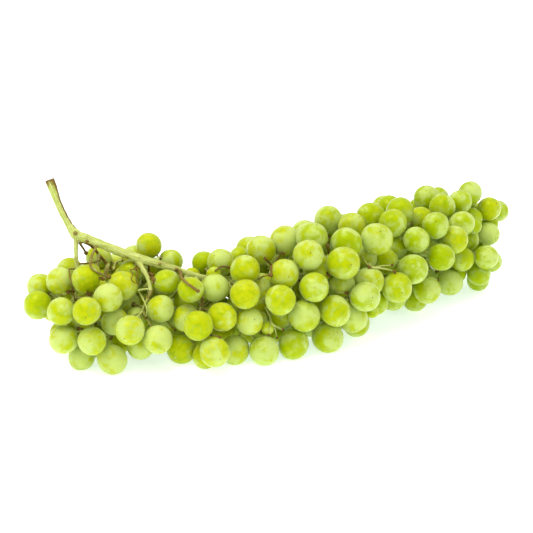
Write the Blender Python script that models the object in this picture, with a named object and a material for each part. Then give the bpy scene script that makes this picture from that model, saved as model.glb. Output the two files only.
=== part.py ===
"""A bunch of white table grapes lying on its side, with its stem end in the air.

Every side branch hangs its own few berries on short pedicels. The berries swell from small ones
until they press their neighbours, the stems and the table aside, as they do on the vine.
Lengths in the growth rule are millimetres; the solids are made in metres, +Z up.
"""
import math

import bmesh
import bpy
import numpy as np
from mathutils import Matrix, Vector

MM = 0.001
SEED = 7
GOLDEN_TURN = math.radians(137.508)

# Berries
BERRY_RADII = [(0, 7.4), (110, 8.0), (175, 8.5), (240, 7.8), (300, 7.0)]  # place along the bunch, mean radius
USUAL_RADIUS = 8.0
BERRY_SPREAD = 0.3
BERRY_WIDTH = 0.975    # widest radius, as a share of the growing radius
BERRY_LENGTH = 1.03    # half length from stem end to tip, as a share of the same
BALL_TURN = Matrix.Rotation(math.radians(22), 3, "X")  # puts a flat of the ball, not a corner, at the pedicel
APART = 0.8            # clear space between berries of different sprays
FLATTENED = 0.6        # how far a berry on the table is pressed flat
SINKING = 5.0          # height above the table under which a berry sinks onto it

# Stems
RACHIS_RADIUS = 2.4
BRANCH_RADIUS = 1.1
BRANCH_ROOT_RADIUS = 1.26
BRANCH_TIP_RADIUS = 0.8
PEDICEL_RADIUS = 0.75
PEDICEL_ROOT_RADIUS = 0.55
PEDICEL_SUNK = 0.6     # its end lies this share of a berry's radius from the berry's middle
PEDICEL_REACH = 12.0   # longest pedicel, from its branch to its berry
PEDICEL_BACK = 0.15    # how far back along the branch a pedicel starts, as a share of the branch
FIRST_PEDICEL = 0.12
STEM_ROOM = 0.6        # clear space that a stem keeps from a berry
JOINT_GAP = 0.35       # between a side branch's root and the spray that it carries
SPOT_SPACING = 4.6     # between neighbouring side branches on what carries them
ROOT_SHARE = 0.35      # of a side branch, the part that belongs to the stem
ROOT_LEAST = 2.0       # and the least of it past the skin of the stem
BRANCH_LEAST = 5.5     # shortest side branch past the skin of the stem
BRANCH_SHORT = 2.0     # space between a branch's tip and the heart of its spray, past a berry's radius
INWARD = 0.65          # a branch starts this share of the way from its spray to the middle of the bunch
UPSTREAM = 6.0         # and this much nearer to the stem end
STEEP = 0.6            # cosine of the sharpest angle that a side branch makes with its stem
TAKEN, WRONG_SIDE, CROSSING, TOO_STEEP = 1000, 500, 100, 60  # what each fault of a free place costs
SIDES_RACHIS = 2       # resolution of the round bevel: 8 sides
SIDES_SIDE_STEM = 0    # 4 sides
SIDES_BRANCH = 4
SIDES_PEDICEL = 3

# The main stem, from its cut end over the knee: x, y, z, radius
PEDUNCLE = [(-117, -8, 95, 2.7), (-115.5, -9, 91, 2.5), (-112, -11, 81, 2.0), (-107, -13, 71, 2.1),
            (-103, -15, 66, 3.0)]
RACHIS = [(-103, -15, 66, 3.0), (-96, -15.5, 63.5, 2.5), (-90, -16, 61, 2.5), (-77, -17, 56, 2.6),
          (-63, -17, 51, 2.4), (-50, -15, 46, 2.1), (-37, -11, 40, 1.9), (-15, -4, 34, 1.9), (10, 5, 33, 1.8),
          (40, 24, 33, 1.6), (70, 48, 34, 1.4), (95, 72, 34, 1.2), (115, 92, 34, 1.0)]
# Its bare side stems: the wing's, a twig behind the knee and the green one under the bare stretch
WING = [(-103, -16, 65, 1.4), (-103, -20, 56, 1.2), (-102, -24, 47, 1.2), (-103, -27, 38, 1.2),
        (-106, -29, 30, 1.1)]
TWIG = [(-101, -15, 63, 1.2), (-96, -8, 57, 0.9), (-92, -3, 49, 0.9), (-86, 0, 40, 0.9)]
SIDE_STEM = [(-70, -18, 52, 1.6), (-64, -26, 45, 1.2), (-62, -31, 39, 1.0)]
BARE_UP_TO = -44       # the main stem carries nothing on its near side before this x
HANGING_FROM = {"wing": 48, "side": 46, "twig": 60}  # height under which each bare stem carries sprays
SIDE_STEMS_UP_TO = -40

# Centre line of the mass of berries: x, y, z, half depth, half height
BODY = [(-126, -24, 33, 10, 12), (-112, -24, 30, 32, 22), (-95, -23, 28, 40, 25), (-75, -21, 27, 41, 26),
        (-50, -20, 25, 38, 24), (-28, -17, 25, 37, 23), (-5, -8, 30, 40, 29), (25, 7, 34, 42, 34),
        (50, 27, 34, 41, 34), (75, 50, 34, 39, 34), (100, 74, 34, 37, 33), (120, 92, 33, 32, 30),
        (135, 104, 33, 14, 16)]
SKIN_POWER_TOP = 2.0   # the section is round on top
SKIN_POWER_FOOT = 3.0  # and squarer below, where it lies

# The near side as the photograph shows it: pixel (x, y) of each berry in its 533-pixel frame, spray by spray,
# first the berries at the skin of the bunch and then those one berry deeper
IN_VIEW = [
    ([(41, 287), (38, 305), (60, 281), (62, 312)], []),
    ([(86, 282), (91, 310), (106, 299), (121, 289)], []),
    ([(64, 339), (92, 341), (112, 358)], [(82, 356)]),
    ([(130, 330), (158, 340)], [(140, 355), (115, 322), (137, 318), (130, 300)]),
    ([(161, 309)], [(168, 287), (186, 302)]),
    ([(199, 327), (222, 317)], [(186, 318)]),
    ([(184, 351), (214, 354)], [(205, 360)]),
    ([(235, 346), (264, 350)], [(248, 318)]),
    ([(215, 288), (247, 299), (245, 270)], []),
    ([(261, 250), (287, 241), (290, 272)], []),
    ([(281, 298), (307, 319)], [(290, 316), (263, 286)]),
    ([(295, 344), (328, 338)], []),
    ([(313, 289), (336, 314)], [(318, 272), (342, 284)]),
    ([(312, 247), (311, 262)], [(307, 236)]),
    ([(338, 263), (347, 244)], []),
    ([(329, 220)], [(351, 226)]),
    ([(371, 217)], [(389, 207)]),
    ([(400, 212), (393, 224)], [(420, 219)]),
    ([(374, 241)], [(369, 252), (388, 261), (400, 246)]),
    ([(352, 317), (366, 296), (370, 283)], [(356, 325)]),
    ([(397, 286), (409, 271)], [(420, 267), (393, 298), (376, 300)]),
    ([(414, 240), (441, 257)], [(433, 243)]),
    ([(427, 199), (443, 208)], [(438, 198)]),
    ([(436, 226), (460, 223), (451, 240)], []),
    ([(460, 202), (470, 193)], []),
    ([(489, 209), (488, 234), (498, 211)], []),
    ([(461, 261), (487, 259)], [(468, 240), (493, 264)]),
    ([(451, 281), (427, 290)], [(415, 297)]),
    ([(480, 272)], [(478, 281)]),
]
# Berries that show over the bare stem from behind it
BEHIND = [[(99, 258), (117, 266), (134, 257)], [(149, 246), (170, 261)], [(204, 263)]]
DEEPER = 16.0
DEEPER_SIZE = 0.91     # berries with less room stay smaller
BEHIND_DEPTH = 7.0
NEAR_MISS = 1.35       # a sight line this far past the skin still meets the bunch

# The photograph's view: where the eye is, how far it looks down and its focal length in pixels
EYE = np.array([0.0, -661.6, 283.0])
EYE_TILT = math.radians(20)
EYE_FOCAL = 1258.5
EYE_MIDDLE = 266.5
LOOK_FROM, LOOK_TO, LOOK_STEP = 540, 900, 1.5

# The far side and the underside: sprays at even shares of the surface
HIDDEN_SPRAYS = 20
HIDDEN_BERRIES = 3.6
HIDDEN_FROM = math.radians(145)
HIDDEN_OVER = math.radians(150)
HIDDEN_SPREAD = 1.24   # between its berries, in radii
HIDDEN_ROUNDING = 60.0
GOLDEN_SHARE = 0.618034

# How the berries settle
STEPS = 360
SMALLEST = 0.6
HELD_UNTIL, LATE_UNTIL = 0.75, 0.85
HOLD = 0.3             # how firmly a berry in view keeps to its sight line
HOLD_LATE = 0.12
YIELD_IN_VIEW = 0.25   # its share of a push between it and a hidden berry
HOMING = 0.03
HOMING_IN_VIEW = 0.01

GRAPE_COLOUR = (0.52, 0.62, 0.12, 1.0)
STEM_COLOUR = (0.45, 0.50, 0.16, 1.0)


def unit(v):
    return v / np.maximum(np.linalg.norm(v, axis=-1, keepdims=True), 1e-9)


def smooth_line(points, per):
    """Points on a Catmull-Rom curve through the given ones, per of them for each stretch."""
    p = np.array(points, float)
    p = np.vstack([2 * p[0] - p[1], p, 2 * p[-1] - p[-2]])
    line = []
    for i in range(1, len(p) - 2):
        for u in np.arange(per) / per:
            bend = (2 * p[i] + (p[i + 1] - p[i - 1]) * u
                    + (2 * p[i - 1] - 5 * p[i] + 4 * p[i + 1] - p[i + 2]) * u ** 2
                    + (3 * p[i] - p[i - 1] - 3 * p[i + 1] + p[i + 2]) * u ** 3)
            line.append(0.5 * bend)
    return np.array(line + [p[-2]])


def lengths_along(line):
    steps = np.linalg.norm(np.diff(line[:, :3], axis=0), axis=1)
    return np.concatenate([[0], np.cumsum(steps)])


def evenly(line, spacing):
    """The line again, with its points at even spacing."""
    along = lengths_along(line)
    places = np.linspace(0, along[-1], max(2, round(along[-1] / spacing) + 1))
    return np.stack([np.interp(places, along, line[:, i]) for i in range(line.shape[1])], -1)


def off_segments(p, a, b):
    """From the nearest point of each segment a-b to each point p."""
    ab = b - a
    share = ((p[:, None] - a[None]) * ab[None]).sum(-1) / np.maximum((ab ** 2).sum(-1), 1e-9)[None]
    return p[:, None] - (a[None] + np.clip(share, 0, 1)[..., None] * ab[None])


class Body:
    """The mass of berries as a bent tube, round above and squarer below."""

    def __init__(self):
        line = smooth_line(BODY, 10)
        self.centre = line[:, :3]
        self.half = line[:, 3:]
        self.along = lengths_along(line)
        self.forward = unit(np.gradient(self.centre, axis=0))
        self.near_side = unit(np.cross(self.forward, [0, 0, 1.0]))
        self.top = np.cross(self.near_side, self.forward)

    def station(self, p):
        return np.argmin(((p[:, None] - self.centre[None]) ** 2).sum(-1), axis=1)

    def depth(self, p, inset):
        """1 on the surface that lies inset under the skin, less inside it and more outside."""
        k = self.station(p)
        away = p - self.centre[k]
        across = (away * self.near_side[k]).sum(-1) / np.maximum(self.half[k, 0] - inset, 3)
        up = (away * self.top[k]).sum(-1) / np.maximum(self.half[k, 1] - inset, 3)
        past_end = (away * self.forward[k]).sum(-1) / 8
        power = np.where(up < 0, SKIN_POWER_FOOT, SKIN_POWER_TOP)
        return (np.abs(across) ** power + np.abs(up) ** power + np.abs(past_end) ** power) ** (1 / power)


def sight(x, y):
    """Direction from the eye through a pixel of the photograph."""
    ahead = np.array([0, math.cos(EYE_TILT), -math.sin(EYE_TILT)])
    up = np.array([0, math.sin(EYE_TILT), math.cos(EYE_TILT)])
    right = np.array([1.0, 0, 0])
    return unit(ahead + right * (x - EYE_MIDDLE) / EYE_FOCAL - up * (y - EYE_MIDDLE) / EYE_FOCAL)


def seen_at(body, line, radius, deeper):
    """Where a sight line meets the skin of the bunch, or the table in front of it."""
    p = EYE + line * np.arange(LOOK_FROM, LOOK_TO, LOOK_STEP)[:, None]
    depth = body.depth(p, radius)
    on_table = p[:, 2] <= radius - FLATTENED
    table = np.argmax(on_table) if on_table.any() else len(p) - 1
    inside = (depth <= 1) & (p[:, 2] > radius)
    if inside.any():
        k = min(np.argmax(inside), table)
    else:
        k = np.argmin(depth[:table])
        if depth[k] > NEAR_MISS:
            k = table
    home = p[k] + line * deeper
    home[2] = max(home[2], radius - FLATTENED)
    return home


def lay_seen(body, rng):
    """Home, radius, spray and sight line of each berry in view."""
    rows = [[(x, y, 0) for x, y in skin] + [(x, y, DEEPER) for x, y in inner] for skin, inner in IN_VIEW]
    rows += [[(x, y, None) for x, y in berries] for berries in BEHIND]
    laid = []
    for spray, row in enumerate(rows):
        for x, y, deeper in row:
            line = sight(x, y)
            behind = EYE + line * (BEHIND_DEPTH - EYE[1]) / line[1]
            rough = behind if deeper is None else seen_at(body, line, USUAL_RADIUS, deeper)
            place = body.along[body.station(rough[None])[0]]
            radius = np.interp(place, *np.array(BERRY_RADII).T) + BERRY_SPREAD * np.clip(rng.normal(), -2, 2)
            radius *= 1.0 if deeper == 0 else DEEPER_SIZE
            home = behind if deeper is None else seen_at(body, line, radius, deeper)
            laid.append((home, radius, spray, line))
    return laid


def lay_hidden(body, rng, first):
    """The same for the far side and the underside, at even shares of the surface."""
    girth = np.sqrt((body.half ** 2).sum(1) / 2)
    area = np.concatenate([[0], np.cumsum((girth[1:] + girth[:-1]) / 2 * np.diff(body.along))])
    laid = []
    for h in range(HIDDEN_SPRAYS):
        place = np.interp((h + 0.5) / HIDDEN_SPRAYS * area[-1], area, body.along)
        k = np.searchsorted(body.along, place)
        mean = np.interp(place, *np.array(BERRY_RADII).T)
        turn = HIDDEN_FROM + HIDDEN_OVER * ((h * GOLDEN_SHARE + 0.3) % 1)
        out = (math.cos(turn) * body.near_side[k] * (body.half[k, 0] - mean)
               + math.sin(turn) * body.top[k] * (body.half[k, 1] - mean))
        round_it = unit(np.cross(out, body.forward[k]))
        for j in range(int((h + 1) * HIDDEN_BERRIES) - int(h * HIDDEN_BERRIES)):
            radius = mean + BERRY_SPREAD * np.clip(rng.normal(), -2, 2)
            spread = HIDDEN_SPREAD * mean * math.sqrt(j)
            turn_here = j * GOLDEN_TURN + h
            flat = math.cos(turn_here) * body.forward[k] + math.sin(turn_here) * round_it
            home = body.centre[k] + out + spread * flat - unit(out) * spread ** 2 / HIDDEN_ROUNDING
            home[2] = max(home[2], radius - FLATTENED)
            laid.append((home, radius, first + h, np.zeros(3)))
    return laid


def carriers():
    """The stems that side branches grow from, with a free place every few millimetres."""
    lines = {"rachis": RACHIS, "wing": WING, "side": SIDE_STEM, "twig": TWIG}
    return {name: evenly(smooth_line(points, 6), SPOT_SPACING) for name, points in lines.items()}


def main_segments():
    """Start, end and radius of every piece of the main stem and its bare side stems."""
    lines = [smooth_line(PEDUNCLE, 3)] + list(carriers().values())
    a = np.vstack([line[:-1, :3] for line in lines])
    b = np.vstack([line[1:, :3] for line in lines])
    radius = np.concatenate([np.maximum(line[:-1, 3], line[1:, 3]) for line in lines])
    return a, b, np.where(radius > 1.7, np.maximum(radius, RACHIS_RADIUS), radius)


def lay_branches(body, home, radius, spray):
    """A side branch for each spray, from the best free place that leaves the other stems clear."""
    spots, ways, radii, kinds = [], [], [], []
    for name, line in carriers().items():
        forward = unit(np.gradient(line[:, :3], axis=0))
        forward[-1] = 0
        for i in range(1, len(line)):
            if name == "rachis" or line[i, 2] < HANGING_FROM[name]:
                spots.append(line[i, :3])
                ways.append(forward[i])
                radii.append(max(line[i, 3], RACHIS_RADIUS if name == "rachis" else 1.3))
                kinds.append(name)
    spots, ways, radii = np.array(spots), np.array(ways), np.array(radii)
    on_rachis = np.array([name == "rachis" for name in kinds])
    taken = np.zeros(len(spots), bool)
    stem_a, stem_b, stem_r = main_segments()
    roots, starts, tips = [], [], []
    for k in range(spray.max() + 1):
        heart = home[spray == k].mean(0)
        mean = radius[spray == k].mean()
        near = body.station(heart[None])[0]
        want = heart + (body.centre[near] - heart) * INWARD - body.forward[near] * UPSTREAM
        way = unit(heart - spots)
        reach = np.linalg.norm(heart - spots, axis=1)
        tip = spots + way * np.maximum(reach - mean - BRANCH_SHORT, radii + BRANCH_LEAST)[:, None]
        start_at = np.maximum(ROOT_SHARE * np.linalg.norm(tip - spots, axis=1), radii + ROOT_LEAST)
        start = spots + way * start_at[:, None]
        cost = np.linalg.norm(spots - want, axis=1) + TAKEN * taken
        cost += TOO_STEEP * np.maximum(np.abs((way * ways).sum(-1)) - STEEP, 0)
        bare = on_rachis & (spots[:, 0] < BARE_UP_TO) & (heart[1] < spots[:, 1] + 8)
        cost += WRONG_SIDE * bare + WRONG_SIDE * (~on_rachis & (heart[0] > SIDE_STEMS_UP_TO))
        for share in np.linspace(0, 1, 7):
            outer = start + (tip - start) * share
            room = np.linalg.norm(off_segments(outer, stem_a, stem_b), axis=2) - stem_r - BRANCH_RADIUS
            cost += CROSSING * (room.min(1) < STEM_ROOM - 0.1)
            if roots:
                whole = spots + (tip - spots) * share
                room = np.linalg.norm(off_segments(outer, np.array(roots), np.array(tips)), axis=2)
                other = np.linalg.norm(off_segments(whole, np.array(starts), np.array(tips)), axis=2)
                cost += CROSSING * (np.minimum(room, other).min(1) < 2 * BRANCH_RADIUS + APART)
        best = int(np.argmin(cost))
        taken[best] = True
        roots.append(spots[best])
        starts.append(start[best])
        tips.append(tip[best])
    return np.array(roots), np.array(starts), np.array(tips)


def pedicels(berry, radius, spray, starts, tips):
    """Root of each pedicel on its own branch, and the way from there to its berry."""
    a, b = starts[spray], tips[spray]
    share = ((berry - a) * (b - a)).sum(-1, keepdims=True) / ((b - a) ** 2).sum(-1, keepdims=True)
    root = a + (b - a) * np.clip(share - PEDICEL_BACK, FIRST_PEDICEL, 1)
    way = berry - root
    length = np.linalg.norm(way, axis=1, keepdims=True)
    return root, way / length, length


def grow():
    """Swell the berries until each has its room. Millimetres, with the bunch as the photograph shows it."""
    rng = np.random.default_rng(SEED)
    body = Body()
    laid = lay_seen(body, rng)
    laid += lay_hidden(body, rng, len(IN_VIEW) + len(BEHIND))
    home, radius, spray, line = (np.array([row[i] for row in laid]) for i in range(4))
    roots, starts, tips = lay_branches(body, home, radius, spray)
    stem_a, stem_b, stem_r = main_segments()
    stem_a, stem_b = np.vstack([stem_a, roots]), np.vstack([stem_b, tips])
    stem_r = np.concatenate([stem_r, np.full(len(roots), BRANCH_RADIUS)])
    in_view = np.abs(line).sum(1) > 0
    same = spray[:, None] == spray[None]
    both = radius[:, None] + radius[None]
    need = np.where(same, both, both + APART)
    gives = 0.5 + (0.5 - YIELD_IN_VIEW) * (in_view[None].astype(float) - in_view[:, None])
    homing = np.where(in_view, HOMING_IN_VIEW, HOMING)[:, None]
    p = home.copy()
    for step in range(STEPS):
        done = step / STEPS
        size = min(1.0, SMALLEST + done)
        hold = HOLD if done < HELD_UNTIL else HOLD_LATE if done < LATE_UNTIL else 0.0
        on_line = EYE + line * ((p - EYE) * line).sum(-1, keepdims=True)
        p = p + np.where(in_view[:, None], (on_line - p) * hold, 0)
        if done < HELD_UNTIL:
            p = p + (home - p) * homing
            depth = body.depth(p, radius * 0.9)
            back = np.where((depth > 1) & ~in_view, (depth - 1) / depth * 0.15, 0)
            p = p - back[:, None] * (p - body.centre[body.station(p)])
        # berries press each other away
        gap = p[:, None] - p[None]
        far = np.sqrt((gap ** 2).sum(-1)) + 1e-9
        lack = np.maximum(need * size - far, 0)
        np.fill_diagonal(lack, 0)
        push = (gap / far[..., None] * (lack * gives)[..., None]).sum(1)
        p = p + push / np.sqrt((lack > 0).sum(1).clip(1))[:, None]
        # stems keep their room
        gap = off_segments(p, stem_a, stem_b)
        far = np.linalg.norm(gap, axis=2) + 1e-9
        lack = np.maximum(radius[:, None] * size + stem_r[None] + STEM_ROOM - far, 0)
        p = p + (gap / far[..., None] * lack[..., None]).sum(1) * 0.5
        # each pedicel holds its berry and keeps clear of other sprays
        root, way, length = pedicels(p, radius, spray, starts, tips)
        p = p - way * np.maximum(length - radius[:, None] - PEDICEL_REACH, 0) * 0.3
        gap = off_segments(p, root, p - way * radius[:, None])
        far = np.linalg.norm(gap, axis=2) + 1e-9
        lack = np.maximum(radius[:, None] * size + PEDICEL_RADIUS + 0.5 - far, 0) * ~same
        push = gap / far[..., None] * lack[..., None] * 0.5
        p = p + push.sum(1) * 0.7 - push.sum(0) * 0.3
        # the table holds them up, and what is near it sinks onto it
        rest = radius - FLATTENED
        p[:, 2] = np.maximum(p[:, 2], rest)
        p[:, 2] -= np.where(p[:, 2] < rest + SINKING, np.minimum(p[:, 2] - rest, 0.1), 0)
        p = np.round(p, 7)
    root, way, length = pedicels(p, radius, spray, starts, tips)
    return {"berry": p, "radius": radius, "spray": spray, "pedicel_root": root, "pedicel_way": way,
            "root": roots, "start": starts, "tip": tips}


def footprint_middle(bunch):
    """Middle of what the berries cover, which becomes the origin on the table."""
    low = (bunch["berry"] - bunch["radius"][:, None]).min(0)
    high = (bunch["berry"] + bunch["radius"][:, None]).max(0)
    return np.array([(low[0] + high[0]) / 2, (low[1] + high[1]) / 2, 0.0])


def material(name, colour, roughness):
    made = bpy.data.materials.new(name)
    made.use_nodes = True
    shader = made.node_tree.nodes["Principled BSDF"]
    shader.inputs["Base Color"].default_value = colour
    shader.inputs["Roughness"].default_value = roughness
    shader.inputs["Metallic"].default_value = 0.0
    made.diffuse_color = colour
    return made


def mesh_object(name, shape, collection, finish):
    """A bmesh as an object of its own."""
    mesh = bpy.data.meshes.new(name)
    shape.to_mesh(mesh)
    shape.free()
    mesh.materials.append(finish)
    made = bpy.data.objects.new(name, mesh)
    collection.objects.link(made)
    return made


def along_z_to(start, way):
    """Frame at start, in metres, with its Z axis along way."""
    turn = Vector(way).to_track_quat("Z", "Y").to_matrix().to_4x4()
    return Matrix.Translation(Vector(start) * MM) @ turn


def add_rod(name, a, b, radius_a, radius_b, sides, collection, finish):
    """A few-sided tapered rod between two points."""
    length = float(np.linalg.norm(b - a)) * MM
    shape = bmesh.new()
    bmesh.ops.create_cone(shape, cap_ends=True, segments=sides, radius1=radius_a * MM, radius2=radius_b * MM,
                          depth=length)
    bmesh.ops.translate(shape, verts=shape.verts, vec=(0, 0, length / 2))
    bmesh.ops.transform(shape, matrix=along_z_to(a, b - a), verts=shape.verts)
    return mesh_object(name, shape, collection, finish)


def add_berry(name, centre, way, radius, collection, finish):
    """A ball of sixty triangles, a little longer from stem end to tip."""
    shape = bmesh.new()
    bmesh.ops.create_icosphere(shape, subdivisions=1, radius=1.0)
    bmesh.ops.poke(shape, faces=shape.faces)
    corners = [BALL_TURN @ corner.co.normalized() for corner in shape.verts]
    shape.clear()
    for corner in corners:
        shape.verts.new(corner)
    bmesh.ops.convex_hull(shape, input=shape.verts)
    wide = BERRY_WIDTH * radius * MM
    bmesh.ops.scale(shape, verts=shape.verts, vec=(wide, wide, BERRY_LENGTH * radius * MM))
    bmesh.ops.transform(shape, matrix=along_z_to(centre, way), verts=shape.verts)
    bmesh.ops.recalc_face_normals(shape, faces=shape.faces)
    return mesh_object(name, shape, collection, finish)


def add_stem_curve(name, points, sides, collection, finish, shift):
    """A smooth tapering stem as a bevelled curve, made a mesh with its caps welded."""
    curve = bpy.data.curves.new(name, "CURVE")
    curve.dimensions = "3D"
    curve.bevel_depth = MM
    curve.bevel_resolution = sides
    curve.use_fill_caps = True
    line = smooth_line(points, 2)
    spline = curve.splines.new("POLY")
    spline.points.add(len(line) - 1)
    for point, place in zip(spline.points, line):
        point.co = (*((place[:3] - shift) * MM), 1.0)
        point.radius = place[3]
    guide = bpy.data.objects.new(name, curve)
    collection.objects.link(guide)
    bpy.context.view_layer.update()
    drawn = guide.evaluated_get(bpy.context.evaluated_depsgraph_get())
    mesh = bpy.data.meshes.new_from_object(drawn)
    bpy.data.objects.remove(guide)
    shape = bmesh.new()
    shape.from_mesh(mesh)
    bpy.data.meshes.remove(mesh)
    bmesh.ops.remove_doubles(shape, verts=shape.verts, dist=1e-6)
    bmesh.ops.recalc_face_normals(shape, faces=shape.faces)
    return mesh_object(name, shape, collection, finish)


def fuse(base, pieces, collection):
    """One Boolean union of the base with every piece of a collection, applied."""
    union = base.modifiers.new("fuse", "BOOLEAN")
    union.operation = "UNION"
    union.operand_type = "COLLECTION"
    union.collection = pieces
    bpy.context.view_layer.update()
    drawn = base.evaluated_get(bpy.context.evaluated_depsgraph_get())
    mesh = bpy.data.meshes.new_from_object(drawn)
    base.modifiers.remove(union)
    base.data = mesh
    for piece in list(pieces.objects):
        bpy.data.objects.remove(piece)
    for other in list(base.users_collection):
        other.objects.unlink(base)
    collection.objects.link(base)


def cut_at_table(node, slab):
    """Trim what would reach below the table, which leaves a flat under each berry on it."""
    if min((node.matrix_world @ Vector(corner)).z for corner in node.bound_box) < 0:
        cut = node.modifiers.new("table", "BOOLEAN")
        cut.operation = "DIFFERENCE"
        cut.object = slab


def build_stem(bunch, shift, pieces, collection, finish):
    """The main stem with its bare side stems and the root of every side branch."""
    base = add_stem_curve("stem", PEDUNCLE[:-1] + RACHIS, SIDES_RACHIS, pieces, finish, shift)
    pieces.objects.unlink(base)
    collection.objects.link(base)
    for name, points in (("wing", WING), ("twig", TWIG), ("side", SIDE_STEM)):
        add_stem_curve(name, points, SIDES_SIDE_STEM, pieces, finish, shift)
    for root, start, tip in zip(bunch["root"], bunch["start"], bunch["tip"]):
        end = start - unit(tip - root) * JOINT_GAP
        add_rod("branch_root", root - shift, end - shift, BRANCH_ROOT_RADIUS, BRANCH_RADIUS, SIDES_BRANCH,
                pieces, finish)
    fuse(base, pieces, collection)


def build_spray(number, bunch, shift, pieces, collection, finish):
    """The outer part of one side branch with its pedicels and berries."""
    start, tip = bunch["start"][number] - shift, bunch["tip"][number] - shift
    base = add_rod(f"spray_{number + 1:02d}", start, tip, BRANCH_RADIUS, BRANCH_TIP_RADIUS, SIDES_BRANCH,
                   collection, finish)
    for i in np.flatnonzero(bunch["spray"] == number):
        centre = bunch["berry"][i] - shift
        root = bunch["pedicel_root"][i] - shift
        way = bunch["pedicel_way"][i]
        radius = bunch["radius"][i]
        end = centre - way * radius * PEDICEL_SUNK
        add_rod("pedicel", root, end, PEDICEL_ROOT_RADIUS, PEDICEL_RADIUS, SIDES_PEDICEL, pieces, finish)
        add_berry("berry", centre, way, radius, pieces, finish)
    fuse(base, pieces, collection)
    return base


def main():
    for old in list(bpy.data.objects):
        bpy.data.objects.remove(old)
    grapes = bpy.data.collections.new("bunch_of_grapes")
    pieces = bpy.data.collections.new("pieces")
    cutters = bpy.data.collections.new("cutters")
    for collection in (grapes, pieces, cutters):
        bpy.context.scene.collection.children.link(collection)
    skin = material("grape_skin", GRAPE_COLOUR, 0.35)
    bark = material("green_stem", STEM_COLOUR, 0.6)
    slab_shape = bmesh.new()
    bmesh.ops.create_cube(slab_shape, size=1.0)
    bmesh.ops.translate(slab_shape, verts=slab_shape.verts, vec=(0, 0, -0.5))
    slab = mesh_object("table", slab_shape, cutters, skin)
    slab.hide_render = True
    slab.display_type = "WIRE"
    bunch = grow()
    shift = footprint_middle(bunch)
    build_stem(bunch, shift, pieces, grapes, bark)
    for number in range(len(bunch["root"])):
        spray = build_spray(number, bunch, shift, pieces, grapes, skin)
        cut_at_table(spray, slab)
    bpy.data.collections.remove(pieces)


main()
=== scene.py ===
"""A bunch of white table grapes lying on its side, dressed over its solids.

The berries, pedicels and stems grow here by the same rule as in the solids, so each fine piece
keeps the form and place of the node that it replaces. Inner berries and dried twigs are added.
Lengths in the growth rule are millimetres; the scene is in metres, +Z up.
"""

import math

import bmesh
import bpy
import numpy as np
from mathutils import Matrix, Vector


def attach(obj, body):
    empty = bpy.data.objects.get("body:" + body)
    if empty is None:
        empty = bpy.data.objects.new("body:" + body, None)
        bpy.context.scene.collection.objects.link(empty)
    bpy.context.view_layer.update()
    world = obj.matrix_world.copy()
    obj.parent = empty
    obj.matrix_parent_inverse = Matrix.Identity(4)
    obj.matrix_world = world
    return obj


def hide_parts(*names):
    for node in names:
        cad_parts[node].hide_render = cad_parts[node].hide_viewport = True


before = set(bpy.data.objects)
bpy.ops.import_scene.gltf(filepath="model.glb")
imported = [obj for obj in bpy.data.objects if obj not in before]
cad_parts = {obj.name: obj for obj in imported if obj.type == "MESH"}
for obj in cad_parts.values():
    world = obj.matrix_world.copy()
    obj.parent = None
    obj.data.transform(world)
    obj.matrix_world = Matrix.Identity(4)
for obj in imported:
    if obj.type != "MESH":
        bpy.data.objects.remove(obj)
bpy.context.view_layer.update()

bl_info = {
    "name": "Bunch of grapes",
    "version": (1, 0, 0),
    "blender": (4, 5, 0),
    "location": "View3D > Sidebar > Grapes",
    "description": "Grows a bunch of white table grapes over its solids",
    "category": "Add Mesh",
}

MM = 0.001
SEED = 7
GOLDEN_TURN = math.radians(137.508)

# Berries
BERRY_RADII = [(0, 7.4), (110, 8.0), (175, 8.5), (240, 7.8), (300, 7.0)]  # place along the bunch, mean radius
USUAL_RADIUS = 8.0
BERRY_SPREAD = 0.3
APART = 0.8            # clear space between berries of different sprays
FLATTENED = 0.6        # how far a berry on the table is pressed flat
SINKING = 5.0          # height above the table under which a berry sinks onto it

# Stems
RACHIS_RADIUS = 2.4
THICK = 1.7            # stems past this radius keep as much room as the main stem
SIDE_RADIUS = 1.3
BRANCH_RADIUS = 1.1
PEDICEL_RADIUS = 0.75
PEDICEL_REACH = 12.0   # longest pedicel, from its branch to its berry
PEDICEL_BACK = 0.15    # how far back along the branch a pedicel starts, as a share of the branch
FIRST_PEDICEL = 0.12
STEM_ROOM = 0.6        # clear space that a stem keeps from a berry
SPOT_SPACING = 4.6     # between neighbouring side branches on what carries them
ROOT_SHARE = 0.35      # of a side branch, the part that belongs to the stem
ROOT_LEAST = 2.0       # and the least of it past the skin of the stem
BRANCH_LEAST = 5.5     # shortest side branch past the skin of the stem
BRANCH_SHORT = 2.0     # space between a branch's tip and the heart of its spray, past a berry's radius
INWARD = 0.65          # a branch starts this share of the way from its spray to the middle of the bunch
UPSTREAM = 6.0         # and this much nearer to the stem end
STEEP = 0.6            # cosine of the sharpest angle that a side branch makes with its stem
TAKEN, WRONG_SIDE, CROSSING, TOO_STEEP = 1000, 500, 100, 60  # what each fault of a free place costs

# The main stem, from its cut end over the knee: x, y, z, radius
PEDUNCLE = [(-117, -8, 95, 2.7), (-115.5, -9, 91, 2.5), (-112, -11, 81, 2.0), (-107, -13, 71, 2.1),
            (-103, -15, 66, 3.0)]
RACHIS = [(-103, -15, 66, 3.0), (-96, -15.5, 63.5, 2.5), (-90, -16, 61, 2.5), (-77, -17, 56, 2.6),
          (-63, -17, 51, 2.4), (-50, -15, 46, 2.1), (-37, -11, 40, 1.9), (-15, -4, 34, 1.9), (10, 5, 33, 1.8),
          (40, 24, 33, 1.6), (70, 48, 34, 1.4), (95, 72, 34, 1.2), (115, 92, 34, 1.0)]
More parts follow.
